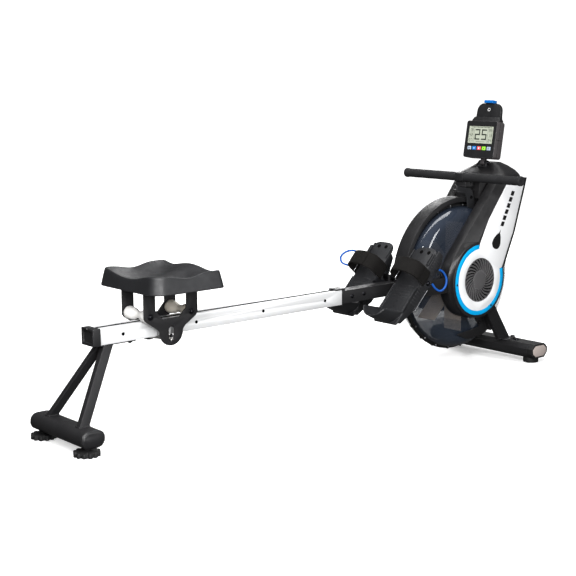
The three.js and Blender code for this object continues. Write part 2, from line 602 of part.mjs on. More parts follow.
function sideCover(label, side) {
  const { radius, inner, face, wall, top } = COVER;
  const shoulder = COVER.shoulder[label];
  const at = (y) => (x, z) => [x, side * y, z];
  const outlines = (inset, highest) => {
    const body = coverOutline(BLADE_REAR, radius, 139, inset, highest);
    return [body, body, coverOutline(BLADE_FACE, radius - 3, 97, inset, highest)];
  };
  const outer = loft(outlines(0, top), [at(inner), at(shoulder), at(face)]);
  const bore = loft(outlines(wall, top - wall), [at(inner - 1), at(shoulder - 2), at(face - wall)]);
  const y = mirrored(SIDE.inner - 1.5, SIDE.outer + 1.5, side);
  const armSlot = box(SIDE.armStart - 4, TANK.x, ...y, SIDE.armBottom - 1.5, SIDE.armTop + 1.5);
  const { topX, topZ, footX, footZ, wide } = LEG;
  const w = wide / 2 + 1.8;
  const legSlot = [[topX - w, topZ], [footX - w, footZ], [footX + w, footZ], [topX + w, topZ]];
  return cut(outer, bore, armSlot, across(legSlot, ...y));
}

// The white panel on the cover's face: a disc that runs up the blade, with a hole for the fan grille,
// and the coloured ring that borders it from the blade's rear edge round to its front edge.
const PANEL_BLADE = [
  [1724, 445.5], [1730, 468], [1777, 554], [1871, 675], [1885, 694],
  [1978, 694], [1972, 665], [1918, 498], [1857, 366], [1840, 361], [1780, 390],
];
function sidePanel(side) {
  const y = mirrored(COVER.face + GAP, COVER.face + GAP + PANEL.thick, side);
  const disc = across(circle(TANK.x, TANK.z, PANEL.outer, 48), ...y);
  const grille = across(circle(TANK.x, TANK.z, PANEL.fan + GAP, 40), y[0] - 1, y[1] + 1);
  return cut(joined(disc, across(PANEL_BLADE, ...y)), grille);
}
function accentRing(side) {
  const y = mirrored(COVER.face + GAP, COVER.face + GAP + PANEL.thick, side);
  const [from, to] = [92.5, 374.5];
  const outer = arc(TANK.x, TANK.z, PANEL.ringOuter, from, to, 40);
  const inner = arc(TANK.x, TANK.z, PANEL.outer + GAP, to, from, 40);
  return across([...outer, ...inner], ...y);
}

// Curved slots of the fan grille, cut through its face.
function fanDisc(side) {
  const [y0, y1] = mirrored(COVER.face + GAP, COVER.face + PANEL.thick + 1.2, side);
  const slots = Array.from({ length: 12 }, (_, i) => {
    const slot = box(42, 76, y0 - 1, y1 + 1, -1.6, 1.6).rotate([0, -22, 0]).translate([2, 0, -18]);
    return slot.rotate([0, 30 * i, 0]).translate([TANK.x, 0, TANK.z]);
  });
  return cut(across(circle(TANK.x, TANK.z, PANEL.fan, 40), y0, y1), ...slots);
}

function covers() {
  bothSides((label, side) => {
    part(`side_cover_${label}`, sideCover(label, side), MATERIAL.plastic);
    part(`side_panel_${label}`, sidePanel(side), MATERIAL.panel);
    part(`accent_ring_${label}`, accentRing(side), MATERIAL.accent);
    part(`fan_disc_${label}`, fanDisc(side), MATERIAL.vent);
  });
}

// ---------- mast, idler and handle ----------
function mast() {
  const { half, rear, front, bottom, valley, wall } = MAST;
  const clear = rod([TANK.x, -half - 9, TANK.z], [TANK.x, half + 9, TANK.z], ARC.outer + GAP, 128);
  const rim = COVER.top + 4;
  const side = [[rear, bottom], [front - 24, bottom], [front, 662], [front + 8, rim], [rear + 2, rim]];
  const column = cut(across(side, -half, half), clear);
  const levels = HOOD.map(({ rear: x0, front: x1, half: wide, round }) => (
    rounded((x0 + x1) / 2, 0, (x1 - x0) / 2, wide, round, 5)
  ));
  const hood = loft(levels, HOOD.map(({ z }) => (a, b) => [a, b, z]));
  const dip = box(1860, CONSOLE.hingeX + 16, -24, 24, valley, 770);
  const channel = box(rear - 6, IDLER.x + 26, -15, 15, 640, 716);
  const core = box(IDLER.x + 32, front - 24 - wall, -half + wall, half - wall, bottom - 1, valley - 12);
  const pin = rod([IDLER.x, -22, idlerZ()], [IDLER.x, 22, idlerZ()], 4, 12);
  part("mast_shell", joined(cut(joined(column, hood), dip, channel, core), pin), MATERIAL.plastic);

  const flange = IDLER.radius + 3;
  const spool = closed([
    [4 + GAP, -IDLER.half], [flange, -IDLER.half], [flange, -12], [IDLER.radius, -11.6],
    [IDLER.radius, 11.6], [flange, 12], [flange, IDLER.half], [4 + GAP, IDLER.half],
  ]);
  part("idler_pulley", turned(spool, IDLER.x, idlerZ(), 18), MATERIAL.roller);
}
const idlerZ = () => HANDLE.z - 0.6 - GAP - IDLER.radius;

function handle() {
  const { x, z, half, grip, bar, block } = HANDLE;
  const core = rod([x, -half + 4, z], [x, half - 4, z], bar, 20);
  const yoke = across(rounded(x + 1, z, 19, 17, 7, 4), -block, block);
  const eye = box(x + 14, x + 26, -12, 12, z - 4, z + 4);
  part("handle_bar", joined(core, yoke, eye), MATERIAL.plastic);
  bothSides((label, side) => {
    const flip = (points) => closed(points.map(([r, y]) => [r, side * y]));
    const profile = [
      [bar + GAP, block + GAP], [grip, block + GAP], [grip, half - 5], [grip - 5, half],
      [0, half], [0, half - 3], [bar + GAP, half - 3],
    ];
    part(`handle_grip_${label}`, turned(flip(profile), x, z, 24), MATERIAL.foam);
  });

  const [strapStart, strapLow, strapThick] = [x + 26 + GAP, 656, 1.8];
  const turn = (radius, from, to) => arc(IDLER.x, idlerZ(), radius, from, to, 6);
  const under = turn(IDLER.radius + GAP, 90, 0);
  const over = turn(IDLER.radius + GAP + strapThick, 0, 90);
  const route = [
    [strapStart, under[0][1]], ...under, [under[6][0], strapLow],
    [over[0][0], strapLow], ...over, [strapStart, over[6][1]],
  ];
  part("pull_strap", across(route, -11, 11), MATERIAL.webbing);
}

// ---------- console ----------
// Console directions: up its face, and back away from the rower.
const LEAN = radians(CONSOLE.tilt);
const onConsole = (up, back) => [
  CONSOLE.x + up * Math.sin(LEAN) + back * Math.cos(LEAN),
  CONSOLE.z + up * Math.cos(LEAN) - back * Math.sin(LEAN),
];
const consoleBlock = (up0, up1, back0, back1, y0, y1) => across(
  [onConsole(up0, back0), onConsole(up1, back0), onConsole(up1, back1), onConsole(up0, back1)], y0, y1,
);
// A plate across the console's back: outline in (Y, up), between two depths.
const consolePlate = (outline, back0, back1) => loft(
  [outline, outline],
  [back0, back1].map((back) => (y, up) => [onConsole(up, back)[0], y, onConsole(up, back)[1]]),
);

function consoleUnit() {
  const c = CONSOLE;
  const { hingeX, hingeZ } = c;
  const cheek = (y0, y1) => joined(
    rod([hingeX, y0, hingeZ], [hingeX, y1, hingeZ], 9, 20),
    box(hingeX - 9, hingeX + 9, y0, y1, MAST.valley + GAP, hingeZ),
  );
  const foot = box(hingeX - 14, hingeX + 14, -20, 20, MAST.valley + GAP, MAST.valley + 5);
  part("console_post", joined(cheek(-20, -9), cheek(9, 20), foot), MATERIAL.plastic);

  const screenAt = [c.screenLow, c.screenHigh];
  const shell = consolePlate(rounded(0, c.tall / 2, c.half, c.tall / 2, 9, 3), 0, c.deep);
  const window = c.screenHalf + GAP;
  const recess = consoleBlock(screenAt[0] - GAP, screenAt[1] + GAP, -1, 2, -window, window);
  const lug = joined(
    rod([hingeX, -8.6, hingeZ], [hingeX, 8.6, hingeZ], 9, 20),
    across([[hingeX - 8, hingeZ], [hingeX + 8, hingeZ], onConsole(2, 44), onConsole(2, 28)], -8.6, 8.6),
  );
  const wells = BUTTON_COLOURS.map((_, i) => {
    const y = (2 - i) * c.buttonPitch;
    const [t, h] = [c.buttonTall / 2 + 0.4, c.buttonHalf + 0.4];
    return consoleBlock(c.buttonUp - t, c.buttonUp + t, -1, 5, y - h, y + h);
  });
  part("console_housing", cut(joined(shell, lug), recess, ...wells), MATERIAL.plastic);
  part("console_screen", consoleBlock(...screenAt, 0.3, 1.7, -c.screenHalf, c.screenHalf), MATERIAL.screen);
  BUTTON_COLOURS.forEach((colour, i) => {
    const y = (2 - i) * c.buttonPitch;
    const [t, h] = [c.buttonTall / 2, c.buttonHalf];
    const key = consoleBlock(c.buttonUp - t, c.buttonUp + t, -1.2, 2.8, y - h, y + h);
    part(`console_button_${i + 1}`, key, paint(colour, 0.5, 0));
  });

  const w = c.holderHalf;
  const outline = [
    [-w - 5, c.holderLow], [w + 5, c.holderLow], [w, c.holderLow + 22],
    ...arc(w - 31, c.holderHigh - 30, 30, 0, 90, 6), ...arc(-w + 31, c.holderHigh - 30, 30, 90, 180, 6),
    [-w, c.holderLow + 22],
  ];
  const slot = consoleBlock(170, c.holderHigh + 1, 33.6, 38.4, -12.4, 12.4);
  part("phone_holder", cut(consolePlate(outline, c.holderFront, c.holderBack), slot), MATERIAL.plastic);
  const tongue = consoleBlock(182, c.holderHigh + 2, 34, 38, -12, 12);
  const hook = consoleBlock(c.holderHigh + GAP, c.holderHigh + 11, 20, 46, -21, 21);
  part("phone_clip", joined(tongue, hook), MATERIAL.blue);
}

rearSupport();
rail();
seat();
frontFrame();
frontSupport();
pedals();
tank();
covers();
mast();
handle();
consoleUnit();

export default machine;
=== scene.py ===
"""Looks for a water rowing machine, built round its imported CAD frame.

Pieces are shaped in millimetres on the machine's own axes: X from the rear feet towards the water
tank, Y towards the rower's left, Z up from the floor. Build.done() turns them into the row frame.
"""

import math

import bmesh
import bpy
from mathutils import Matrix, Vector


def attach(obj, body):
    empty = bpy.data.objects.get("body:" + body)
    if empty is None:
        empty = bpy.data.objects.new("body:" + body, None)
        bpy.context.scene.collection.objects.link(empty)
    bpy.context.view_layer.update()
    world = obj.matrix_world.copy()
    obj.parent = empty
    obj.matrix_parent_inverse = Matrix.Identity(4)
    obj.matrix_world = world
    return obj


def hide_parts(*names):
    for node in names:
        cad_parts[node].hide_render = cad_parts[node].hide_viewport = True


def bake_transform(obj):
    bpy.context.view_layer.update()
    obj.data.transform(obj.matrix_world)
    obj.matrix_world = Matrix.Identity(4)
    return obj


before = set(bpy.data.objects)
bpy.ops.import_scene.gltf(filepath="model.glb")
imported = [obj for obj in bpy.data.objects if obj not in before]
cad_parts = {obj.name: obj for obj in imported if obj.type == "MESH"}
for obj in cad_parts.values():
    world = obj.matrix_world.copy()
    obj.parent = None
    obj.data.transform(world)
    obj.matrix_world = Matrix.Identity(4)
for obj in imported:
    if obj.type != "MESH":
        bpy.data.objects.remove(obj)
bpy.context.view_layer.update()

MM = 0.001
MIDDLE_X = 987.25
TO_ROW = Matrix.Scale(MM, 4) @ Matrix.Translation((-MIDDLE_X, 0, 0))
SIDES = (("left", 1), ("right", -1))
UP = (0, 0, 1)
TANK_X, TANK_Z, WATER_LEVEL = 1728.7, 329.9, 160
HANDLE_X, HANDLE_Z = 1767, 708.5
FOOT_Y = 123


# ---------- camera ----------
CAMERA_SPOT = (-2.875339, -3.212384, 1.110103)
CAMERA_AHEAD = (0.64451626, 0.74557702, -0.16945114)
CAMERA_ROLL = math.radians(-0.29)
CAMERA_LENS = 79.026


def add_camera():
    forward = Vector(CAMERA_AHEAD)
    level = forward.cross(Vector((0, 0, 1))).normalized()
    above = level.cross(forward)
    right = level * math.cos(CAMERA_ROLL) + above * math.sin(CAMERA_ROLL)
    up = above * math.cos(CAMERA_ROLL) - level * math.sin(CAMERA_ROLL)
    data = bpy.data.cameras.new("camera")
    data.lens, data.sensor_width, data.clip_end = CAMERA_LENS, 36, 60
    camera = bpy.data.objects.new("camera", data)
    bpy.context.scene.collection.objects.link(camera)
    turn = Matrix((right, up, -forward)).transposed().to_4x4()
    camera.matrix_world = Matrix.Translation(CAMERA_SPOT) @ turn
    bpy.context.scene.camera = camera


# ---------- materials ----------
class Finish:
    """A procedural material: a Principled shader and the textures that drive its sockets."""

    def __init__(self, name, colour, rough, metal=0.0, soft=0.0008, **sockets):
        self.material = bpy.data.materials.new(name)
        self.material.use_nodes = True
        self.tree = self.material.node_tree
        self.shader = self.tree.nodes["Principled BSDF"]
        self.colour = (*colour, 1)
        self.put(self.shader, {"Base Color": self.colour, "Roughness": rough, "Metallic": metal})
        self.put(self.shader, {key.replace("_", " "): value for key, value in sockets.items()})
        self.normal = None
        self.rounded = None
        if soft:
            self.rounded = self.add("Bevel", {"Radius": soft})
            self.rounded.samples = 4
            self.normal = self.rounded.outputs["Normal"]
            self.join(self.normal, self.shader.inputs["Normal"])

    def put(self, node, values):
        for key, value in values.items():
            if isinstance(value, bpy.types.NodeSocket):
                self.join(value, node.inputs[key])
            else:
                node.inputs[key].default_value = value
        return node

    def add(self, kind, values=None, **settings):
        node = self.tree.nodes.new("ShaderNode" + kind)
        for key, value in settings.items():
            setattr(node, key, value)
        return self.put(node, values or {})

    def join(self, source, target):
        self.tree.links.new(source, target)

    def sum(self, operation, a, b=0.0):
        return self.add("Math", {0: a, 1: b}, operation=operation).outputs[0]

    def place(self, stretch=(1, 1, 1)):
        coords = self.add("TexCoord").outputs["Object"]
        return self.add("Mapping", {"Vector": coords, "Scale": stretch}).outputs[0]

    def noise(self, scale, detail=2.0, stretch=(1, 1, 1)):
        values = {"Vector": self.place(stretch), "Scale": scale, "Detail": detail}
        return self.add("TexNoise", values).outputs[0]

    def cells(self, scale):
        return self.add("TexVoronoi", {"Vector": self.place(), "Scale": scale}).outputs["Distance"]

    def spread(self, value, low, high, start=0.3, end=0.7):
        values = {"Value": value, "From Min": start, "From Max": end, "To Min": low, "To Max": high}
        return self.add("MapRange", values).outputs[0]

    def blend(self, share, a, b):
        mix = self.add("Mix", data_type="RGBA")
        for index, value in ((0, share), (6, a), (7, b)):
            if isinstance(value, bpy.types.NodeSocket):
                self.join(value, mix.inputs[index])
            else:
                mix.inputs[index].default_value = value
        return mix.outputs[2]

    def tint(self, share, colour):
        """Mixes another colour over the base one by a texture."""
        links = self.shader.inputs["Base Color"].links
        base = links[0].from_socket if links else self.colour
        self.join(self.blend(share, base, (*colour, 1)), self.shader.inputs["Base Color"])
        return self

    def rough(self, value, low, high):
        self.join(self.spread(value, low, high), self.shader.inputs["Roughness"])
        return self

    def bump(self, height, distance, strength=1.0):
        values = {"Height": height, "Distance": distance, "Strength": strength}
        node = self.add("Bump", values)
        if self.normal:
            self.join(self.normal, node.inputs["Normal"])
        self.normal = node.outputs["Normal"]
        self.join(self.normal, self.shader.inputs["Normal"])
        return self

    def painted_edge_highlight(self, colour, amount):
        """Painted highlight: lightens the rounded edges, in noisy patches, as if lamps caught them."""
        facing = self.add("NewGeometry").outputs["Normal"]
        turn = self.add("VectorMath", {0: self.rounded.outputs[0], 1: facing}, operation="DOT_PRODUCT")
        edge = self.spread(turn.outputs["Value"], amount, 0.0, 0.8, 0.99)
        patches = self.spread(self.noise(60, 3), 0.3, 1.0)
        return self.tint(self.sum("MULTIPLY", edge, patches), colour)


def grained(name, colour, rough, lighter, grain=1400, depth=0.00008, painted_edge_highlight=0.6, soft=0.0012, **sockets):
    """Moulded or powder-coated black: a fine grain, slow changes of tone and a painted highlight on the
    edges.
    """
    finish = Finish(name, colour, rough, soft=soft, **sockets)
    finish.tint(finish.spread(finish.noise(7, 3), 0.0, 0.5), lighter)
    # A lighter copy of the colour, painted along the edges as a highlight.
    finish.painted_edge_highlight(tuple(min(1, 4 * c + 0.06) for c in colour), painted_edge_highlight)
    finish.rough(finish.noise(40, 3), rough - 0.06, rough + 0.08)
    finish.bump(finish.cells(grain), depth, 0.7)
    return finish.bump(finish.noise(grain / 3, 3), depth, 0.4).material


def aluminium():
    finish = Finish("anodised_aluminium", (0.66, 0.665, 0.67), 0.36, metal=0.15, soft=0.0006)
    streaks = finish.noise(1, 4, stretch=(9, 2400, 2400))
    finish.tint(finish.spread(streaks, 0.0, 0.3), (0.6, 0.605, 0.615))
    finish.rough(streaks, 0.3, 0.46)
    return finish.bump(streaks, 0.00004, 0.5).material


def metal(name, colour, rough):
    finish = Finish(name, colour, rough, metal=1.0, soft=0.0004)
    marks = finish.noise(500, 4, stretch=(1, 6, 1))
    finish.tint(finish.spread(marks, 0.0, 0.4), tuple(0.75 * c for c in colour))
    finish.rough(marks, max(0.08, rough - 0.08), rough + 0.1)
    return finish.bump(marks, 0.00003, 0.5).material


def gloss(name, colour, rough, coat=0.3, **sockets):
    """Injection-moulded gloss plastic with the faint ripple of its mould."""
    finish = Finish(name, colour, rough, soft=0.0007, Coat_Weight=coat, Coat_Roughness=0.08, **sockets)
    finish.tint(finish.spread(finish.noise(12, 2), 0.0, 0.12), tuple(0.82 * c for c in colour))
    finish.rough(finish.noise(70, 3), rough - 0.03, rough + 0.05)
    return finish.bump(finish.noise(110, 2), 0.00005, 0.5).material


def foam(name, colour, cells, depth):
    finish = Finish(name, colour, 0.82, soft=0.0, Specular_IOR_Level=0.4)
    finish.tint(finish.spread(finish.noise(30, 4), 0.0, 0.5), tuple(1.9 * c for c in colour))
    finish.rough(finish.noise(200, 2), 0.72, 0.92)
    finish.bump(finish.cells(cells), depth, 0.8)
    return finish.bump(finish.noise(cells * 2, 2), depth * 0.5, 0.5).material


def seat_skin():
    """The leathery skin of moulded polyurethane foam."""
    finish = Finish("seat_skin", (0.0125, 0.0128, 0.0142), 0.44, soft=0.0)
    finish.tint(finish.spread(finish.noise(9, 4), 0.0, 0.45), (0.021, 0.0215, 0.024))
    finish.rough(finish.noise(55, 3), 0.4, 0.56)
    finish.bump(finish.cells(620), 0.00025, 0.55)
    return finish.bump(finish.noise(1500, 2), 0.0001, 0.4).material


def webbing(name, colour, rib=0.0022):
    """Woven nylon: ribs along the strap (U) crossed by picks (V), both laid out in metres."""
    pick = 0.0016
    finish = Finish(name, colour, 0.85, soft=0.0, Specular_IOR_Level=0.25)
    parts = finish.add("SeparateXYZ", {0: finish.add("TexCoord").outputs["UV"]})
    across = finish.sum("SINE", finish.sum("MULTIPLY", parts.outputs[1], math.pi / rib))
    along = finish.sum("SINE", finish.sum("MULTIPLY", parts.outputs[0], math.pi / pick))
    height = finish.sum("ABSOLUTE", finish.sum("MULTIPLY", across, along))
    finish.tint(finish.spread(height, 0.0, 0.55, 0, 1), tuple(2.2 * c for c in colour))
    finish.tint(finish.spread(finish.noise(35, 4), 0.0, 0.3), tuple(1.8 * c for c in colour))
    finish.bump(height, 0.0006, 0.7)
    return finish.bump(finish.noise(2500, 2), 0.0002, 0.5).material


def braid():
    """Braided cord: two sets of strands that wind round it in opposite directions, with painted shade in
    the grooves between them.
    """
    finish = Finish("blue_cord", (0.006, 0.09, 0.37), 0.5, soft=0.0)
    parts = finish.add("SeparateXYZ", {0: finish.add("TexCoord").outputs["UV"]})
    lay, strand_pairs = 0.007, 3
    along = finish.sum("MULTIPLY", parts.outputs[0], math.tau / lay)
    around = finish.sum("MULTIPLY", parts.outputs[1], math.tau * strand_pairs)
    one = finish.sum("SINE", finish.sum("ADD", along, around))
    other = finish.sum("SINE", finish.sum("SUBTRACT", along, around))
    strands = finish.sum("MAXIMUM", one, other)
    # Painted shade: a darker blue in the grooves between the strands.
    finish.tint(finish.spread(strands, 0.6, 0.0, -0.4, 1.0), (0.003, 0.035, 0.18))
    finish.tint(finish.spread(finish.noise(90, 3), 0.0, 0.3), (0.01, 0.13, 0.48))
    return finish.bump(strands, 0.0005, 0.6).material


def tank_shell_finish():
    """Clear polycarbonate with a blue-grey smoke, denser higher up and clearer towards the front."""
    finish = Finish(
        "smoked_polycarbonate", (0.026, 0.034, 0.05), 0.05, soft=0.0,
        IOR=1.58, Coat_Weight=0.7, Coat_Roughness=0.02,
    )
    haze = finish.noise(5, 3)
    finish.tint(finish.spread(haze, 0.0, 0.5), (0.06, 0.072, 0.096))
    along, _, height = finish.add("SeparateXYZ", {0: finish.place()}).outputs
    by_height = finish.spread(height, 0.44, 0.76, 0.2, 0.36)
    to_front = finish.spread(along, 1.0, 0.4, 0.9, 0.98)
    smoke = finish.sum("MULTIPLY", by_height, to_front)
    finish.join(finish.sum("ADD", smoke, finish.spread(haze, -0.03, 0.03)), finish.shader.inputs["Alpha"])
    finish.rough(finish.noise(30, 3), 0.02, 0.07)
    return finish.bump(finish.noise(40, 2), 0.00001, 0.3).material


def water_finish():
    finish = Finish("water", (0.045, 0.1, 0.15), 0.03, soft=0.0, IOR=1.33)
    swirl = finish.noise(9, 4)
    finish.tint(finish.spread(swirl, 0.0, 0.6), (0.075, 0.13, 0.18))
    finish.join(finish.spread(swirl, 0.26, 0.4), finish.shader.inputs["Alpha"])
    return finish.bump(finish.noise(22, 3), 0.002, 0.5).material


def paddle_finish():
    """Beige plastic, with a faint glow of its own that carries through the smoked shell."""
    finish = Finish(
        "paddle_plastic", (0.66, 0.59, 0.51), 0.5, soft=0.0006,
        Emission_Color=(1, 0.86, 0.72, 1), Emission_Strength=0.16,
    )
    finish.tint(finish.spread(finish.noise(14, 4), 0.0, 0.5), (0.7, 0.62, 0.54))
    finish.rough(finish.noise(60, 2), 0.42, 0.6)
    return finish.bump(finish.noise(500, 2), 0.0001, 0.5).material


def screen_finish():
    """A reflective liquid-crystal panel: grey-green, in slow changes of tone and fine rows."""
    finish = Finish("lcd", (0.41, 0.435, 0.36), 0.34, soft=0.0, Coat_Weight=0.2, Coat_Roughness=0.08)
    finish.tint(finish.spread(finish.noise(10, 2), 0.0, 0.35), (0.36, 0.39, 0.32))
    pitch = 0.0012
    across = finish.add("SeparateXYZ", {0: finish.place()}).outputs[1]
    grid = finish.sum("ABSOLUTE", finish.sum("SINE", finish.sum("MULTIPLY", across, math.pi / pitch)))
    finish.tint(finish.spread(grid, 0.12, 0.0, 0.0, 0.4), (0.33, 0.36, 0.3))
    return finish.bump(grid, 0.00003, 0.3).material


def floor_finish():
    """White paper whose own light grows with the distance from the machine."""
    finish = Finish("studio_floor", (0.93, 0.93, 0.93), 0.75, soft=0.0, Emission_Color=(1, 1, 1, 1))
    away = finish.add("VectorMath", {0: finish.place()}, operation="LENGTH").outputs["Value"]
    finish.join(finish.spread(away, 0.26, 0.86, 0.9, 2.8), finish.shader.inputs["Emission Strength"])
    finish.tint(finish.spread(finish.noise(3, 3), 0.0, 0.3), (0.9, 0.9, 0.9))
    return finish.bump(finish.noise(300, 3), 0.0001, 0.2).material


BLACK = (0.0155, 0.0153, 0.0163)
MAT = {
    "frame": grained(
        "powder_coat", BLACK, 0.46, (0.025, 0.0245, 0.026),
        grain=1700, depth=0.0001, soft=0.0018, Specular_IOR_Level=0.32,
    ),
    "plastic": grained("moulded_black", (0.0125, 0.0125, 0.0135), 0.45, (0.02, 0.02, 0.0215)),
    "pedal": grained(
        "pedal_plastic", (0.017, 0.0173, 0.019), 0.42, (0.03, 0.031, 0.034),
        grain=1100, depth=0.00012,
    ),
    "cover": grained(
        "cover_plastic", (0.014, 0.0137, 0.0145), 0.37, (0.023, 0.0225, 0.0235),
        grain=1900, depth=0.00007,
    ),
    "shell": grained(
        "console_side", (0.068, 0.063, 0.065), 0.36, (0.1, 0.092, 0.094),
        grain=1900, depth=0.00007,
    ),
    "rubber": grained(
        "rubber", (0.006, 0.006, 0.0064), 0.66, (0.011, 0.011, 0.011),
        grain=700, depth=0.0003, painted_edge_highlight=0.15,
    ),
    "vent": grained("vent_plastic", (0.085, 0.083, 0.085), 0.45, (0.105, 0.102, 0.105)),
    # Near-black: painted shade in the sole holes, the arm's hole, behind the grille and over the rail's
    # slot; also the real black of the rail screws.
    "dark": grained(
        "black_and_painted_shade", (0.003, 0.003, 0.0033), 0.8, (0.005, 0.005, 0.005),
        painted_edge_highlight=0.0, Specular_IOR_Level=0.1,
    ),
    "rail": aluminium(),
    "steel": metal("zinc_plated_steel", (0.5, 0.5, 0.52), 0.3),
    "black_steel": metal("black_oxide_steel", (0.045, 0.045, 0.05), 0.36),
    "seat": seat_skin(),
    "grip": foam("grip_foam", (0.0135, 0.0135, 0.0145), 900, 0.0003),
    "webbing": webbing("strap_webbing", (0.0062, 0.0056, 0.0052)),
    "drive_webbing": webbing("drive_webbing", (0.01, 0.01, 0.0105), rib=0.0018),
    "thread": webbing("sewing_thread", (0.016, 0.015, 0.014)),
    "cord": braid(),
    "tank": tank_shell_finish(),
    "water": water_finish(),
    "paddle": paddle_finish(),
    "panel": gloss("white_gloss", (0.81, 0.815, 0.825), 0.16),
    "accent": gloss("cyan_plastic", (0.002, 0.37, 0.72), 0.34, coat=0.0, Specular_IOR_Level=0.25),
    "blue": gloss("blue_plastic", (0.004, 0.14, 0.44), 0.3, coat=0.1),
    "screen": screen_finish(),
    "segment": gloss("lcd_segment", (0.02, 0.024, 0.02), 0.4, coat=0.0),
    "bezel": gloss("bezel_black", (0.007, 0.007, 0.008), 0.16),
    "ink": gloss("printed_black", (0.009, 0.009, 0.0095), 0.35, coat=0.1),
    "white_ink": gloss("printed_white", (0.85, 0.85, 0.85), 0.4, coat=0.0),
    "cap_face": gloss("cap_insert", (0.44, 0.385, 0.36), 0.4, coat=0.1),
    "roller_white": gloss("roller_nylon", (0.76, 0.75, 0.73), 0.4, coat=0.0),
    "roller_tan": gloss("roller_tan_nylon", (0.68, 0.63, 0.55), 0.38, coat=0.0),
    "key_grey": gloss("key_grey", (0.38, 0.45, 0.54), 0.4, coat=0.0),
    "key_blue": gloss("key_blue", (0.03, 0.2, 0.52), 0.4, coat=0.0),
    "key_red": gloss("key_red", (0.8, 0.14, 0.17), 0.4, coat=0.0),
    "key_green": gloss("key_green", (0.32, 0.7, 0.06), 0.4, coat=0.0),
}


# ---------- mesh building ----------
def axes(origin, x, y, z):
    made = Matrix((Vector(x), Vector(y), Vector(z))).transposed().to_4x4()
    made.translation = Vector(origin)
    return made


def facing(origin, direction):
    """A place whose Z points along direction."""
    turn = Vector(direction).to_track_quat("Z", "Y").to_matrix().to_4x4()
    return Matrix.Translation(origin) @ turn


def side_face(origin, side):
    """A place that faces out to one side of the machine: X forwards, Y up and Z outwards."""
    return axes(origin, (1, 0, 0), UP, (0, side, 0))


def polar(radius, angle):
    return radius * math.cos(angle), radius * math.sin(angle)


def run(line):
    """The length in metres of a line of points in millimetres."""
    return sum(math.dist(a, b) for a, b in zip(line, line[1:])) * MM


def ring(radius, height, sides):
    angles = (math.tau * i / sides for i in range(sides))
    return [(*polar(radius, a), height) for a in angles]


def arc(x, z, radius, start, end, steps):
    angles = (math.radians(start + (end - start) * i / steps) for i in range(steps + 1))
    return [(x + radius * math.cos(a), z + radius * math.sin(a)) for a in angles]


def rounded(half_wide, half_tall, radii, corner=7, side=8):
    """A rounded rectangle about the origin; radii start at the +X+Y corner and go anticlockwise."""
    points = []
    corners = ((1, 1, 0), (-1, 1, 90), (-1, -1, 180), (1, -1, 270))
    for (sx, sy, start), radius in zip(corners, radii):
        x, y = sx * (half_wide - radius), sy * (half_tall - radius)
        points += arc(x, y, radius, start, start + 90, corner)
    out = []
    for i, (a, b) in enumerate(points):
        out.append((a, b))
        if (i + 1) % (corner + 1) == 0:
            c, d = points[(i + 1) % len(points)]
            out += [(a + (c - a) * k / side, b + (d - b) * k / side) for k in range(1, side)]
    return out


def smooth_path(points, count):
    """count points on a centripetal Catmull-Rom curve through points."""
    points = [Vector(p) for p in points]
    ends = [2 * points[0] - points[1], *points, 2 * points[-1] - points[-2]]
    out = []
    for i in range(count):
        place = (len(points) - 1) * i / (count - 1)
        k = min(int(place), len(points) - 2)
        a, b, c, d = ends[k : k + 4]
        t1, t2, t3 = ((q - p).length ** 0.5 for p, q in ((a, b), (b, c), (c, d)))
        t1, t2, t3 = t1, t1 + t2, t1 + t2 + t3
        t = t1 + (t2 - t1) * (place - k)
        ab, bc, cd = a.lerp(b, t / t1), b.lerp(c, (t - t1) / (t2 - t1)), c.lerp(d, (t - t2) / (t3 - t2))
        out.append(ab.lerp(bc, t / t2).lerp(bc.lerp(cd, (t - t1) / (t3 - t1)), (t - t1) / (t2 - t1)))
    return out


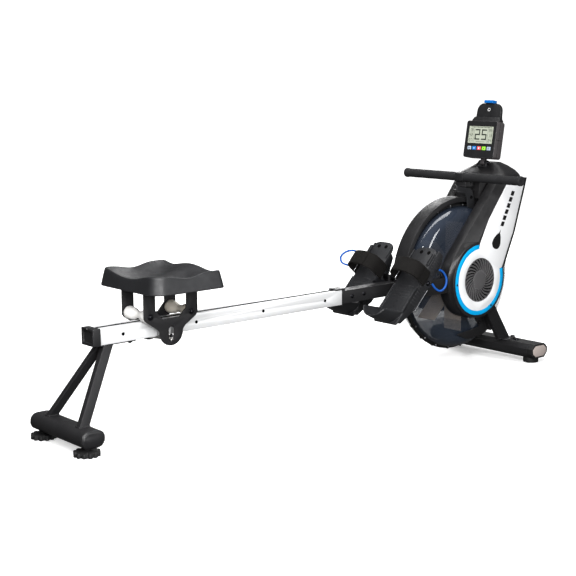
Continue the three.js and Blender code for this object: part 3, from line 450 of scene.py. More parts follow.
class Build:
    """Solids in millimetres, gathered into one mesh."""

    def __init__(self):
        self.bm = bmesh.new()
        self.uv = self.bm.loops.layers.uv.new("UVMap")

    def loft(self, rings, place=None, caps=(True, True), around=None):
        """Skins rings of equal point counts. UV runs along the loft and round it, in metres."""
        place = place or Matrix.Identity(4)
        rows = [[self.bm.verts.new(place @ Vector(p)) for p in each] for each in rings]
        count = len(rows[0])
        along = [0.0]
        for last, row in zip(rows, rows[1:]):
            along.append(along[-1] + (row[0].co - last[0].co).length * MM)
        for i in range(len(rows) - 1):
            for j in range(count):
                k = (j + 1) % count
                face = self.bm.faces.new((rows[i][j], rows[i][k], rows[i + 1][k], rows[i + 1][j]))
                for loop, (a, b) in zip(face.loops, ((i, j), (i, j + 1), (i + 1, j + 1), (i + 1, j))):
                    loop[self.uv].uv = (along[a], b / count * (around or 1))
        for row, wanted in ((rows[0], caps[0]), (rows[-1], caps[1])):
            if wanted:
                self.bm.faces.new(row)
        return self

    def lathe(self, profile, place, sides=32, caps=(True, True)):
        return self.loft([ring(radius, height, sides) for radius, height in profile], place, caps=caps)

    def prism(self, outline, low, high, place=None, bevel=0.0, segments=2, upright=True):
        """An outline in the place's XY plane, raised from low to high, with rounded edges."""
        place = place or Matrix.Identity(4)
        rows = [[self.bm.verts.new(place @ Vector((a, b, h))) for a, b in outline] for h in (low, high)]
        count = len(outline)
        edges = []
        for i in range(count):
            k = (i + 1) % count
            face = self.bm.faces.new((rows[0][i], rows[0][k], rows[1][k], rows[1][i]))
            edges += [e for e in face.edges if upright or len({v in rows[0] for v in e.verts}) == 1]
        caps = [self.bm.faces.new(row) for row in rows]
        if bevel:
            edges = list({e for e in edges} | {e for cap in caps for e in cap.edges})
            bmesh.ops.bevel(
                self.bm, geom=edges, offset=bevel, segments=segments, profile=0.5,
                affect="EDGES", clamp_overlap=True,
            )
        return self

    def box(self, x0, x1, y0, y1, z0, z1, bevel=0.0, place=None):
        outline = [(x0, y0), (x1, y0), (x1, y1), (x0, y1)]
        return self.prism(outline, z0, z1, place, bevel)

    def tube(self, points, radius, sides=10, closed=False):
        """A round bar along points; radius is a number or a function of the share along."""
        points = [Vector(p) for p in points]
        count = len(points)
        size = radius if callable(radius) else lambda share: radius
        ahead = [
            (points[(i + 1) % count if closed else min(i + 1, count - 1)]
             - points[(i - 1) % count if closed else max(i - 1, 0)]).normalized()
            for i in range(count)
        ]
        side = ahead[0].orthogonal().normalized()
        rings = []
        for i, (point, way) in enumerate(zip(points, ahead)):
            side = (side - way * side.dot(way)).normalized()
            other = way.cross(side)
            r = size(i / max(1, count - 1))
            rings.append([
                point + r * (math.cos(a) * side + math.sin(a) * other)
                for a in (math.tau * k / sides for k in range(sides))
            ])
        if closed:
            rings.append(rings[0])
        return self.loft(rings, caps=(not closed, not closed))

    def bolt(self, origin, direction, radius, tall=None, washer=0.0):
        """A button-head bolt with a hexagon socket, on a washer."""
        place = facing(origin, direction)
        tall = tall or radius * 0.62
        if washer:
            self.lathe([(washer, 0), (washer, 0.9), (washer - 0.4, 1.3), (radius * 0.5, 1.3)], place, 28)
            place = place @ Matrix.Translation((0, 0, 1.3))
        dome = ((1, 0), (1, 0.3), (0.93, 0.62), (0.74, 0.9), (0.56, 1))
        rings = [ring(radius * wide, tall * high, 24) for wide, high in dome]
        hexagon = []
        for k in range(24):
            a = math.tau * k / 24
            hexagon.append(polar(radius * 0.4 / math.cos((a % (math.pi / 3)) - math.pi / 6), a))
        rings += [[(a, b, tall) for a, b in hexagon], [(a, b, tall * 0.35) for a, b in hexagon]]
        return self.loft(rings, place)

    def nut(self, origin, direction, radius, tall, washer=0.0):
        place = facing(origin, direction)
        if washer:
            self.lathe([(washer, 0), (washer, 1), (washer - 0.4, 1.4), (radius * 0.5, 1.4)], place, 28)
        levels = ((1, 0.5), (1, tall * 0.8), (0.9, tall), (0.55, tall))
        self.loft([ring(radius * k, h, 6) for k, h in levels], place)
        thread = [(radius * 0.48 - 0.25 * (i % 2), tall + i * 0.5) for i in range(8)]
        return self.lathe([(radius * 0.5, tall * 0.7), *thread, (radius * 0.36, tall + 4.4)], place, 20)

    def done(self, name, body, slot, material, angle=38):
        """Makes the piece in the row frame, with its material, riding on body; slot is not used."""
        bmesh.ops.remove_doubles(self.bm, verts=self.bm.verts, dist=0.004)
        bmesh.ops.recalc_face_normals(self.bm, faces=self.bm.faces)
        self.bm.transform(TO_ROW)
        mesh = bpy.data.meshes.new(name)
        self.bm.to_mesh(mesh)
        self.bm.free()
        for polygon in mesh.polygons:
            polygon.use_smooth = True
        mesh.set_sharp_from_angle(angle=math.radians(angle))
        mesh.materials.append(MAT[material])
        made = bpy.data.objects.new(name, mesh)
        bpy.context.scene.collection.objects.link(made)
        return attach(made, body) if body else made


def subdivide(piece):
    smoother = piece.modifiers.new("subdivision", "SUBSURF")
    smoother.levels = smoother.render_levels = 1
    return piece


# ---------- the CAD nodes' own edges and materials ----------
def smooth_group():
    """Geometry nodes that shade smoothly across every edge flatter than 38 degrees."""
    group = bpy.data.node_groups.new("smooth_by_angle", "GeometryNodeTree")
    group.interface.new_socket("Geometry", in_out="INPUT", socket_type="NodeSocketGeometry")
    group.interface.new_socket("Geometry", in_out="OUTPUT", socket_type="NodeSocketGeometry")
    new, link = group.nodes.new, group.links.new
    entry, leave = new("NodeGroupInput"), new("NodeGroupOutput")
    angle, limit = new("GeometryNodeInputMeshEdgeAngle"), new("FunctionNodeCompare")
    limit.data_type, limit.operation = "FLOAT", "GREATER_THAN"
    limit.inputs[1].default_value = math.radians(38)
    faces, edges = new("GeometryNodeSetShadeSmooth"), new("GeometryNodeSetShadeSmooth")
    faces.domain, edges.domain = "FACE", "EDGE"
    edges.inputs["Shade Smooth"].default_value = False
    link(angle.outputs["Unsigned Angle"], limit.inputs[0])
    link(entry.outputs[0], faces.inputs["Geometry"])
    link(faces.outputs[0], edges.inputs["Geometry"])
    link(limit.outputs[0], edges.inputs["Selection"])
    link(edges.outputs[0], leave.inputs[0])
    return group


SMOOTH = smooth_group()


def dress(names, material, bevel=0.0, segments=2):
    """Gives CAD nodes their material and rounds their edges by bevel millimetres."""
    for name in names.split():
        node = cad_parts[name]
        if "custom_normal" in node.data.attributes:
            node.data.attributes.remove(node.data.attributes["custom_normal"])
        node.material_slots[0].material = MAT[material]
        weld = node.modifiers.new("weld", "WELD")
        weld.merge_threshold = 0.00002
        if bevel:
            flat = node.modifiers.new("flat_faces", "DECIMATE")
            flat.decimate_type, flat.angle_limit = "DISSOLVE", math.radians(0.5)
            edge = node.modifiers.new("edges", "BEVEL")
            edge.width, edge.segments = bevel * MM, segments
            edge.limit_method, edge.angle_limit = "ANGLE", math.radians(34)
            edge.use_clamp_overlap = True
        node.modifiers.new("smooth", "NODES").node_group = SMOOTH


def both(name):
    return f"{name}_left {name}_right"


def dress_frame():
    dress("rear_stabilizer front_stabilizer", "frame")
    dress(both("rear_leg") + " " + both("side_frame"), "frame", 1.6, 3)
    dress("main_arc neck_bracket", "frame", 1.4, 3)
    dress(both("carriage_plate"), "frame", 0.7)
    dress(both("rear_end_cap"), "plastic")
    dress("rail_end_cap", "plastic", 1.5, 3)
    dress("rail", "rail", 0.7)
    dress("upper_roller_rear lower_roller", "roller_white", 0.5)
    dress("upper_roller_front", "roller_tan", 0.5)
    dress("pedal_axle", "black_steel")
    dress(both("front_end_cap"), "rubber", 1.5, 3)
    dress(both("transport_wheel"), "rubber", 1.5, 3)
    dress("tank_band", "rubber", 1.0)
    dress("impeller", "paddle", 0.4)
    dress("drive_drum", "plastic", 0.5)
    dress(both("side_cover"), "cover", 1.6, 3)
    dress(both("side_panel"), "panel", 0.5)
    dress(both("accent_ring"), "accent", 0.5)
    dress("mast_shell", "cover", 1.2, 3)
    dress("idler_pulley", "plastic", 0.4)
    dress("handle_bar", "plastic", 1.2, 3)
    dress("console_post", "plastic", 0.8)
    dress("console_housing", "shell", 1.6, 3)
    dress("console_screen", "screen")
    dress("phone_holder", "plastic", 1.2, 3)
    dress("phone_clip", "blue", 1.0, 3)


# ---------- cords ----------
TILT = math.radians(48)
TOE = Vector((math.cos(TILT), 0, math.sin(TILT)))
OUT = Vector((-math.sin(TILT), 0, math.cos(TILT)))
LOOP_RADIUS = 4
# Points on each loop in its pedal's directions: towards the toe, outwards and up from the sole.
LOOP_ROUTE = {
    "left": [
        (158, 69, 20), (164, 92, 30), (148, 114, 42), (120, 122, 46),
        (102, 112, 36), (104, 88, 18), (110, 69, 8),
    ],
    "right": [
        (178, 68, -40), (182, 70, -60), (172, 73, -88), (146, 75, -100),
        (122, 73, -92), (114, 70, -66), (118, 68, -44),
    ],
}


PEDAL_X, PEDAL_Y, PEDAL_Z = 1307, 108.5, 297


def pedal_place(side):
    return axes((PEDAL_X, side * PEDAL_Y, PEDAL_Z), TOE, (0, side, 0), OUT)


def pull_loops():
    """The blue cord loops on the pedals' outer flanks, held at both ends by the pedal."""
    for label, side in SIDES:
        route = [pedal_place(side) @ Vector(p) for p in LOOP_ROUTE[label]]
        points = smooth_path(route, 40)
        loop = Build().tube(points, LOOP_RADIUS, 12).done(
            f"blue_loop_{label}", f"foot_rest_{label}", "cord", "cord")
        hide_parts(f"pull_loop_{label}")
        path = [TO_ROW @ p for p in points]
        length = sum((b - a).length for a, b in zip(path, path[1:]))
        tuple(path[0])


# ---------- seat ----------
SEAT_X, SEAT_LOW, SEAT_LONG, SEAT_WIDE, SEAT_LIP = 361, 448, 135, 165, 15
# Heights of the seat's top above its skirt: rows run from the rear to the front edge, and each row
# from the centre line out to the side.
SEAT_TOP = [
    [37, 42, 53, 57],
    [29, 26, 36, 52],
    [30, 22, 31, 43],
    [40, 31, 37, 55],
    [60, 55, 47, 56],
]


def through(values, place):
    """A smooth curve through evenly spaced values, at place from 0 to 1."""
    spot = max(0.0, min(1.0, place)) * (len(values) - 1)
    k = min(int(spot), len(values) - 2)
    t = spot - k
    a, b, c, d = (values[max(0, min(len(values) - 1, k + j))] for j in (-1, 0, 1, 2))
    return b + 0.5 * t * (c - a + t * (2 * a - 5 * b + 4 * c - d + t * (3 * (b - c) + d - a)))


def seat_height(x, y):
    """How high the seat's top is at a point measured from the seat's middle."""
    across = min(1.0, abs(y) / (SEAT_WIDE - SEAT_LIP))
    row = [through([*reversed(line[1:]), *line], 0.5 + across / 2) for line in SEAT_TOP]
    return through(row, (x / (SEAT_LONG - SEAT_LIP) + 1) / 2)


def seat_pad():
    """A moulded polyurethane saddle: a flared skirt, a soft lip, two hollows and a ridge between."""

    def outline(inset):
        # The two front corners are tighter than the rear ones.
        radii = [max(8, r - inset * 0.5) for r in (22, 48, 48, 22)]
        return rounded(SEAT_LONG - inset, SEAT_WIDE - inset, radii, corner=8, side=12)

    def level(inset, height):
        return [(SEAT_X + a, b, SEAT_LOW + height(a, b)) for a, b in outline(inset)]

    rings = [level(26, lambda a, b: 7), level(9, lambda a, b: 5), level(4, lambda a, b: 0.8)]
    rings += [level(1.2, lambda a, b: 0), level(0, lambda a, b: 1.5), level(0.3, lambda a, b: 4)]
    for share, inset in ((0.3, 3), (0.6, 6.5), (0.85, 9.6), (0.94, 11)):
        rings.append(level(inset, lambda a, b, s=share: s * (seat_height(a, b) + 0.5)))
    rings.append(level(13, lambda a, b: seat_height(a, b) - 0.4))
    rings.append(level(16, lambda a, b: seat_height(a, b) + 0.3))
    rings.append(level(20, lambda a, b: seat_height(a, b) - 0.6))
    top = outline(24)
    for share in (1, 0.95, 0.89, 0.82, 0.74, 0.65, 0.56, 0.46, 0.36, 0.26, 0.16, 0.07):
        inner = [(a * share, b * share) for a, b in top]
        rings.append([(SEAT_X + a, b, SEAT_LOW + seat_height(a, b) - 1.2) for a, b in inner])
    pad = subdivide(Build().loft(rings).done("saddle", "carriage", "foam", "seat", angle=60))
    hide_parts("seat_pad")


CARRIAGE_X, ROLLER_Z = 357, 366.8
ROLLER_XS = (CARRIAGE_X - 78, CARRIAGE_X + 78)


def seat_carriage():
    """The roller axles' bolts and washers, and the bolts that hold the seat."""
    bolts = Build()
    for side in (1, -1):
        outwards = (0, side, 0)
        face = side * 61.2
        for x in ROLLER_XS:
            bolts.bolt((x, face, ROLLER_Z), outwards, 7.2, washer=10.5)
        for z in (285, 299):
            bolts.nut((CARRIAGE_X, face - side * 5, z), outwards, 6.5, 5)
        for dx in (-84, -40, 40, 84):
            bolts.bolt((CARRIAGE_X + dx, side * 40, 442.4), (0, 0, -1), 5.5, washer=8)
    bolts.done("carriage_bolts", "carriage", "steel", "black_steel")
    sleeves = Build()
    for x in ROLLER_XS:
        for side in (1, -1):
            place = facing((x, side * 55, ROLLER_Z), (0, side, 0))
            sleeves.lathe([(8.5, 0), (8.5, 1.4), (7.5, 1.9), (5.2, 1.9)], place, 28)
    sleeves.done("roller_washers", "carriage", "steel", "steel")


# ---------- pedals ----------
HALF, HEEL, TOE_END, CUP_MIDDLE, CUP_LEAN = 56.5, -92, 238, -38, 26
AXLE_U, AXLE_W = 111.5, -34.2


def pedal(label, side):
    """A foot plate: U runs from heel to toe, V outwards and W up from the sole."""
    place = pedal_place(side)
    body, slot = f"foot_rest_{label}", "plastic"
    shell = Build()
    sole = [(-87, HALF), (HEEL, HALF - 5), (HEEL, -HALF + 5), (-87, -HALF)]
    toe = 36
    sole += arc(TOE_END - toe, -HALF + toe, toe, 270, 360, 8)
    sole += arc(TOE_END - toe, HALF - toe, toe, 0, 90, 8)
    shell.prism(sole, -6, 0, place, bevel=1.4, segments=3, upright=False)

    # The heel cup: a scoop that leans back, whose sides fall steeply to the sole.
    def cup_wall(u, v, inner, share):
        """A point on the scoop's wall under the outline point (u, v), a share of the way to its rim."""
        edge = min(1.0, max(0.0, (u + 57) / 21))
        top = 80 - 75 * (3 * edge**2 - 2 * edge**3)
        w = -4 + (top + 4) * share
        lean = CUP_LEAN * max(0.0, w) / 82
        swell = 1.6 * math.sin(math.pi * share) - (4.6 if inner else 0)
        middle = Vector((CUP_MIDDLE, 0, 0))
        out = (Vector((u, v, 0)) - middle).normalized()
        return Vector((u, v, 0)) + out * swell + Vector((-lean, 0, w))

    outline = [(CUP_MIDDLE + 18 - 3 * k, 55) for k in range(6)]
    half_turn = [math.radians(5 * k) for k in range(37)]
    outline += [(CUP_MIDDLE - 55 * math.sin(a), 55 * math.cos(a)) for a in half_turn]
    outline += [(a, -b) for a, b in outline[:6][::-1]]
    sections = []
    for u, v in outline:
        outer = [cup_wall(u, v, False, k / 9) for k in range(10)]
        inner = [cup_wall(u, v, True, k / 9) for k in range(10)]
        crest = (outer[-1] + inner[-1]) / 2 + Vector((0, 0, 2.2))
        sections.append([*outer, crest, *reversed(inner)])
    shell.loft(sections, place)

    # Side guides that carry the rim on towards the toe, and the two flanks below the sole.
    for edge in (-1, 1):
        guide = [(CUP_MIDDLE, -5), (CUP_MIDDLE, 9), (0, 6.5), (70, 5), (72, -5)]
        wall = side_face((0, 0, 0), -1)
        shell.prism(guide, -edge * HALF, -edge * (HALF - 5), place @ wall, bevel=1.2, segments=2)
        outer = edge == 1
        end = [(TOE_END - 48, -25), (TOE_END - 40, -4)]
        if outer:
            end = [(TOE_END - 26, -45), (TOE_END - 4, -30), (TOE_END - 4, -4)]
        flank = [(-84, -4), (-76, -18), (4, -45), (92, -48), (131, -48), *end]
        shell.prism(flank, -edge * HALF, -edge * (HALF - 5), place @ wall, bevel=1.2, segments=2)
        if outer:
            for i in range(17):
                u = 8 + 12 * i
                if abs(u - AXLE_U) > 16:
                    shell.box(u, u + 4.5, HALF - 0.6, HALF + 1.6, -40, -9, 0.8, place)
    # Grip ribs on the sole, the rails at the toe and a boss round the axle.
    for i in range(5):
        shell.box(20 + 12 * i, 24 + 12 * i, -36, 36, -0.8, 1.1, 0.7, place)
    for v0 in (HALF - 6, HALF - 14):
        shell.box(TOE_END - 76, TOE_END - 24, v0, v0 + 3.4, -1, 9.5, 1.0, place)
    shell.box(TOE_END - 70, TOE_END - 16, -HALF + 2, -HALF + 6, -1, 7, 1.0, place)
    for edge in (-1, 1):
        boss = facing(place @ Vector((AXLE_U, edge * (HALF + 0.4), AXLE_W)), (0, edge * side, 0))
        shell.lathe([(17, -6), (17, 1.2), (15.8, 2.2), (10.6, 2.2), (10.6, -6)], boss, 40)
    made = shell.done(f"foot_plate_{label}", body, slot, "pedal")
    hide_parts(f"pedal_{label}")

    # Near-black pits in the sole: the dark colour is painted shade for the holes' depth.
    holes = Build()
    for v in (-18, 18):
        spot = place @ Matrix.Translation((TOE_END - 20, v, -1.5))
        holes.lathe([(7.2, 0), (7.2, 2.6), (6.4, 3.2), (4.2, 3.4), (3.6, 1.8), (0.01, 1.8)], spot, 24)
    for i in range(4):
        spot = place @ Matrix.Translation((-20 + 22 * i, 0, -0.9))
        holes.lathe([(3.2, 0), (3.2, 1.15), (2.9, 1.15), (2.6, 0.6)], spot, 20)
    holes.done(f"sole_holes_{label}", body, slot, "dark")

    trim = Build()
    strip = [(0, HALF + 0.3, -46.6), (40, HALF + 0.3, -47.4), (92, HALF + 0.3, -49.4)]
    trim.tube([place @ Vector(p) for p in smooth_path(strip, 9)], 1.5, 8)
    for v in (HALF + 3.4, -HALF - 3.4):
        loop = [(88, -8), (88, 6), (92, 9), (140, 9), (144, 6), (144, -8), (140, -11), (92, -11)]
        trim.tube([place @ Vector((u, v, w)) for u, w in loop], 1.9, 8, closed=True)
    trim.done(f"strap_loops_{label}", body, "steel", "steel")
    pivot = Build()
    pivot.bolt(place @ Vector((AXLE_U, HALF + 1.6, AXLE_W)), (0, side, 0), 7, washer=10)
    pivot.done(f"pivot_bolt_{label}", body, "steel", "black_steel")


STRAP_U, STRAP_WIDE, STRAP_THICK, STRAP_HALF = 116, 64, 3.2, 59.5


def strap_arch(grow):
    """The strap's line over the foot, in the pedal's V and W directions."""
    arch = []
    for i in range(33):
        angle = math.pi * i / 32
        flat = abs(math.cos(angle)) ** 0.86 * (1 if angle < math.pi / 2 else -1)
        arch.append(((STRAP_HALF + grow) * flat, 24 + (46 + grow) * math.sin(angle) ** 0.9))
    down = [(STRAP_HALF + grow, -20), (STRAP_HALF + grow, -8), (STRAP_HALF + 0.2 + grow, 6)]
    return [*down, *arch, *((-v, w) for v, w in reversed(down))]


def strap_band(build, line, place, wide, thick, crown):
    """A band of webbing along line, with soft edges and a crowned face."""
    rings = []
    flat = [Vector((0, v, w)) for v, w in line]
    for i, point in enumerate(flat):
        way = (flat[min(i + 1, len(flat) - 1)] - flat[max(i - 1, 0)]).normalized()
        out = Vector((0, way.z, -way.y))
        if out.dot(point - Vector((0, 0, 10))) < 0:
            out = -out
        wave = 0.7 * math.sin(i * 0.9) + 0.4 * math.sin(i * 2.3)
        section = []
        for k in range(13):
            s = -1 + 2 * k / 12
            section.append((s, thick * (1 - abs(s) ** 10) * 0.5 + crown * (1 - s * s)))
        section += [(s, -h + 2 * crown * (1 - s * s)) for s, h in reversed(section[1:-1])]
        shifts = [Vector((STRAP_U + s * wide / 2 + wave, 0, 0)) for s, h in section]
        rings.append([point + out * (thick / 2 + h) + shift for (s, h), shift in zip(section, shifts)])
    return build.loft(rings, place, around=2 * wide * MM)


def foot_strap(label, side):
    place = pedal_place(side)
    body = f"foot_rest_{label}"
    line = strap_arch(0)
    band = strap_band(Build(), line, place, STRAP_WIDE, STRAP_THICK, crown=0.8)
    strap = subdivide(band.done(f"webbing_strap_{label}", body, "webbing", "webbing", angle=70))
    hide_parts(f"foot_strap_{label}")

    flap_line = strap_arch(STRAP_THICK + 0.4)[3:25]
    flap = strap_band(Build(), flap_line, place, STRAP_WIDE - 5, 2.4, crown=0.6)
    closure = subdivide(flap.done(f"strap_flap_{label}", body, "webbing", "webbing", angle=70))

    seams = Build()
    path = strap_arch(STRAP_THICK + 0.1)[3:-3]
    rows = [(STRAP_U + e * 28.5, path[24:]) for e in (-1, 1)]
    rows += [(STRAP_U + e * 26.5, strap_arch(STRAP_THICK + 3.0)[4:24]) for e in (-1, 1)]
    for u, row in rows:
        fine = smooth_path([(0, v, w) for v, w in row], len(row) * 4)
        for i in range(0, len(fine) - 2, 3):
            ends = [place @ (fine[i + k] + Vector((u, 0, 0))) for k in (0, 1, 2)]
            seams.tube(ends, 0.55, 6)
    stitching = seams.done(f"strap_stitches_{label}", body, "webbing", "thread")
    length, flap_length = run(line), run(flap_line)


# ---------- tank ----------
FLANGE_SCREWS, FLANGE_RADIUS = 24, 274.6


def tank():
    shoulder = 46
    quarter = [math.radians(5 * i) for i in range(19)]
    profile = [(271, 6.3), (271, 14)]
    profile += [(225 + shoulder * math.cos(a), 16.5 + shoulder * math.sin(a)) for a in quarter]
    profile += [(200, 62.5), (150, 62.5), (60, 62.5), (14, 62.5)]
    inside = [(max(14, r - 3.4), max(6.3, y - 3.4)) for r, y in reversed(profile)]
    for label, side in SIDES:
        place = side_face((TANK_X, 0, TANK_Z), side)
        shell = Build().lathe([*profile, *inside, profile[0]], place, 96, caps=(False, False))
        made = shell.done(f"clear_shell_{label}", "base", "tank", "tank", angle=50)
        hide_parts(f"tank_shell_{label}")
        rim = Build()
        lip = [
            (258, 6.4), (276, 6.4), (277, 7.4), (277, 9.5), (276, 10.4),
            (272, 10.6), (262, 10.6), (258, 10.2), (258, 6.4),
        ]
        rim.lathe(lip, place, 96, caps=(False, False))
        around = [math.radians(7.5 + 15 * i) for i in range(FLANGE_SCREWS)]
        for a in around:
            spot = place @ Vector((*polar(FLANGE_RADIUS, a), 5))
            rim.lathe([(6.5, 0), (6.5, 6.2), (5.6, 7), (3, 7)], side_face(spot, side), 20)
        rim.done(f"flange_{label}", "base", "rubber", "rubber")
        screws = Build()
        for a in around:
            spot = place @ Vector((*polar(FLANGE_RADIUS, a), 12))
            screws.bolt(spot, (0, side, 0), 3.2)
        # The same screws are drawn in black steel on the left flange and in bright steel on the right.
        finish_by_side = "black_steel" if label == "left" else "steel"
        screws.done(f"flange_screws_{label}", "base", "steel", finish_by_side)

    # The water: slices across the tank, each cut level at the surface.
    surface, rings, slices = WATER_LEVEL - TANK_Z, [], 24
    for i in range(slices + 1):
        y = -58 + 116 * i / slices
        depth = max(0.0, abs(y) - 14)
        radius = 222 + math.sqrt(max(0.0, 44.4**2 - depth**2)) if depth < 44.4 else 222
        start = math.asin(surface / radius)
        angles = [math.pi - start + (math.pi + 2 * start) * k / 40 for k in range(41)]
        edge = [polar(radius, a) for a in angles]
        x0, x1 = edge[-1][0], edge[0][0]
        ripple = [surface + 1.2 * math.sin(k * 0.9 + y * 0.05) for k in range(1, 20)]
        top = [(x0 + (x1 - x0) * k / 20, high) for k, high in enumerate(ripple, 1)]
        rings.append([(TANK_X + a, y, TANK_Z + b) for a, b in edge + top])
    Build().loft(rings).done("water", "base", "tank", "water", angle=40)


# ---------- covers ----------
SCREW_RADIUS = 126.2


def fan_grille(side):
    """The round grille: swept blades between a hub plate and a rim, in front of a near-black disc of
    painted shade that covers() adds.
    """
    place = side_face((TANK_X, side * 129.4, TANK_Z), side)
    grille = Build()
    rim = [(82.6, 0), (82.6, 2.8), (82, 3.8), (81.2, 4.2), (80.2, 4.2), (79.6, 3.4), (79.6, 0)]
    grille.lathe(rim, place, 96)
    grille.lathe([(36, 0), (36, 2.9), (35, 3.5), (28, 4.0), (12, 4.3), (0.01, 4.35)], place, 96)
    blades = 28
    for i in range(blades):
        turn = math.tau * i / blades
        left, right = [], []
        for k in range(9):
            share = k / 8
            radius = 34 + 46.5 * share
            swirl = turn - 0.52 * share * side
            half = math.pi / blades * (0.52 + 0.02 * share)
            left.append(polar(radius, swirl - half))
            right.append(polar(radius, swirl + half))
        grille.prism(left + right[::-1], 0.4, 3.7, place, bevel=0.5, segments=1, upright=False)
    return grille


def covers():
    for label, side in SIDES:
        made = fan_grille(side).done(f"grille_{label}", "base", "vent", "vent")
        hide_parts(f"fan_disc_{label}")
        place = side_face((TANK_X, side * 129.3, TANK_Z), side)
        # A near-black disc behind the blades: painted shade where the cover's inside shows through the
        # grille.
        shade_disc = Build().lathe([(81, 0), (81, 0.5), (0.01, 0.5)], place, 64)
        shade_disc.done(f"grille_painted_shade_{label}", "base", "vent", "dark")
        screws = Build()
        for angle in (183, 303):
            a = math.radians(angle)
            spot = place @ Vector((*polar(SCREW_RADIUS, a), 2.6))
            screws.bolt(spot, (0, side, 0), 4.2, tall=1.6)
        screws.done(f"ring_screws_{label}", "base", "steel", "black_steel")

        # A printed motif that stands for no maker: a plain drop and six bars up the blade.
        art = Build()
        plate = side_face((0, side * 132.4, 0), side)
        lean = Vector((0.44, 0.9))
        cross = Vector((0.9, -0.44))

        def spot(along, over):
            return Vector((1824, 470)) + lean * along + cross * over

        drop = []
        for k in range(28):
            a = math.tau * k / 28
            tip = 14 if k == 0 else 0
            drop.append(spot(32 * math.cos(a) + tip, 22 * math.sin(a) * (1 - 0.42 * math.cos(a))))
        art.prism([tuple(p) for p in drop], 0, 0.35, plate)
        for k in range(6):
            low, high, half = 58 + 25 * k, 76 + 25 * k, 8.5
            bar = [spot(low, -half), spot(low + 4, half), spot(high + 4, half), spot(high, -half)]
            art.prism([tuple(p) for p in bar], 0, 0.35, plate)
        art.done(f"panel_print_{label}", "base", "panel", "ink")


# ---------- handle ----------
def handle():
    for label, side in SIDES:
        place = side_face((HANDLE_X, side * 18.4, HANDLE_Z), side)
        profile = [(11.4, 0), (15.6, 0), (17.2, 1.4), (17.6, 4), (17.2, 6.5), (16.7, 9)]
        profile += [(16.7 + 0.22 * math.sin(i * 0.8), 9 + i * 8) for i in range(1, 31)]
        profile += [(16.8, 256), (17.8, 259), (18.3, 262), (18.3, 267.5), (17.4, 270.2)]
        profile += [(15.4, 271.4), (9, 271.5), (6, 270.4), (0.01, 270.2)]
        grip = Build().lathe(profile, place, 56)
        made = grip.done(f"foam_grip_{label}", "handle", "foam", "grip", angle=50)
        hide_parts(f"handle_grip_{label}")

    yoke = Build()
    for side in (-1, 1):
        place = facing((HANDLE_X, side * 16.4, HANDLE_Z), (0, side, 0))
        yoke.lathe([(15, -0.2), (18.2, -0.2), (18.2, 3.2), (17, 4), (15, 4)], place, 40)
    for side in (-1, 1):
        yoke.bolt((1768, side * 18.3, 716), (0, side, 0), 3.6)
    for z in (704.6, 712.4):
        yoke.box(1786, 1793, -12.5, 12.5, z - 0.8, z + 0.8, 0.5)
    yoke.done("handle_collars", "handle", "plastic", "plastic")


def drive_strap():
    """The webbing that the handle pulls off the drum, over the pulley."""
    centre_x, centre_z, radius = 1838, 688.1, 20.3
    line = [(1793.6 + 44.4 * i / 24, 708.75) for i in range(24)]
    turn = [math.radians(6 * i) for i in range(16)]
    line += [(centre_x + radius * math.sin(a), centre_z + radius * math.cos(a)) for a in turn]
    line += [(centre_x + radius, 684 - 28 * i / 8) for i in range(1, 9)]
    section = ((-11, 0), (-10.4, 0.85), (0, 0.95), (10.4, 0.85), (11, 0), (10.4, -0.1), (-10.4, -0.1))
    rings = []
    for x, z in line:
        away = Vector((0, 0, 1))
        if x >= centre_x:
            away = Vector((x - centre_x, 0, max(0.0, z - centre_z))).normalized()
        rings.append([Vector((x, 0, z)) + away * h + Vector((0, y, 0)) for y, h in section])
    band = Build().loft(rings, around=0.044)
    strap = band.done("drive_strap", None, "webbing", "drive_webbing", angle=60)
    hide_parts("pull_strap")
    length = run(line)
    start, end = (TO_ROW @ Vector((x, 0, 708.7)) for x in (1836, 1794))
    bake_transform(strap)
    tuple(start)
    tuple(end)


# ---------- console ----------
LEAN = math.radians(9.6)
WINDOW_UP, KEYS_UP = 88.5, 37
CONSOLE_UP = (math.sin(LEAN), 0, math.cos(LEAN))
CONSOLE_OUT = (-math.cos(LEAN), 0, math.sin(LEAN))
CONSOLE_SPOT = (1857, 0, 776)
CONSOLE = axes(CONSOLE_SPOT, (0, -1, 0), CONSOLE_UP, CONSOLE_OUT)
# The bars that are lit for each figure.
SEGMENTS = {
    "0": "abcdef", "1": "bc", "2": "abged", "3": "abgcd", "4": "fgbc", "5": "afgcd",
    "6": "afgedc", "7": "abc", "8": "abcdefg", "9": "abcfgd",
}


def digit(build, value, x, y, wide, tall, line, depth):
    """A seven-segment figure, lower left corner at (x, y) of the console's face."""
    bars = {
        "a": (0, tall - line, wide, tall), "g": (0, (tall - line) / 2, wide, (tall + line) / 2),
        "d": (0, 0, wide, line), "f": (0, tall / 2, line, tall), "e": (0, 0, line, tall / 2),
        "b": (wide - line, tall / 2, wide, tall), "c": (wide - line, 0, wide, tall / 2),
    }
    for name in SEGMENTS[value]:
        x0, y0, x1, y1 = bars[name]
        tuck = line * 0.18
        build.box(x + x0 + tuck, x + x1 - tuck, y + y0 + tuck, y + y1 - tuck, *depth, place=CONSOLE)


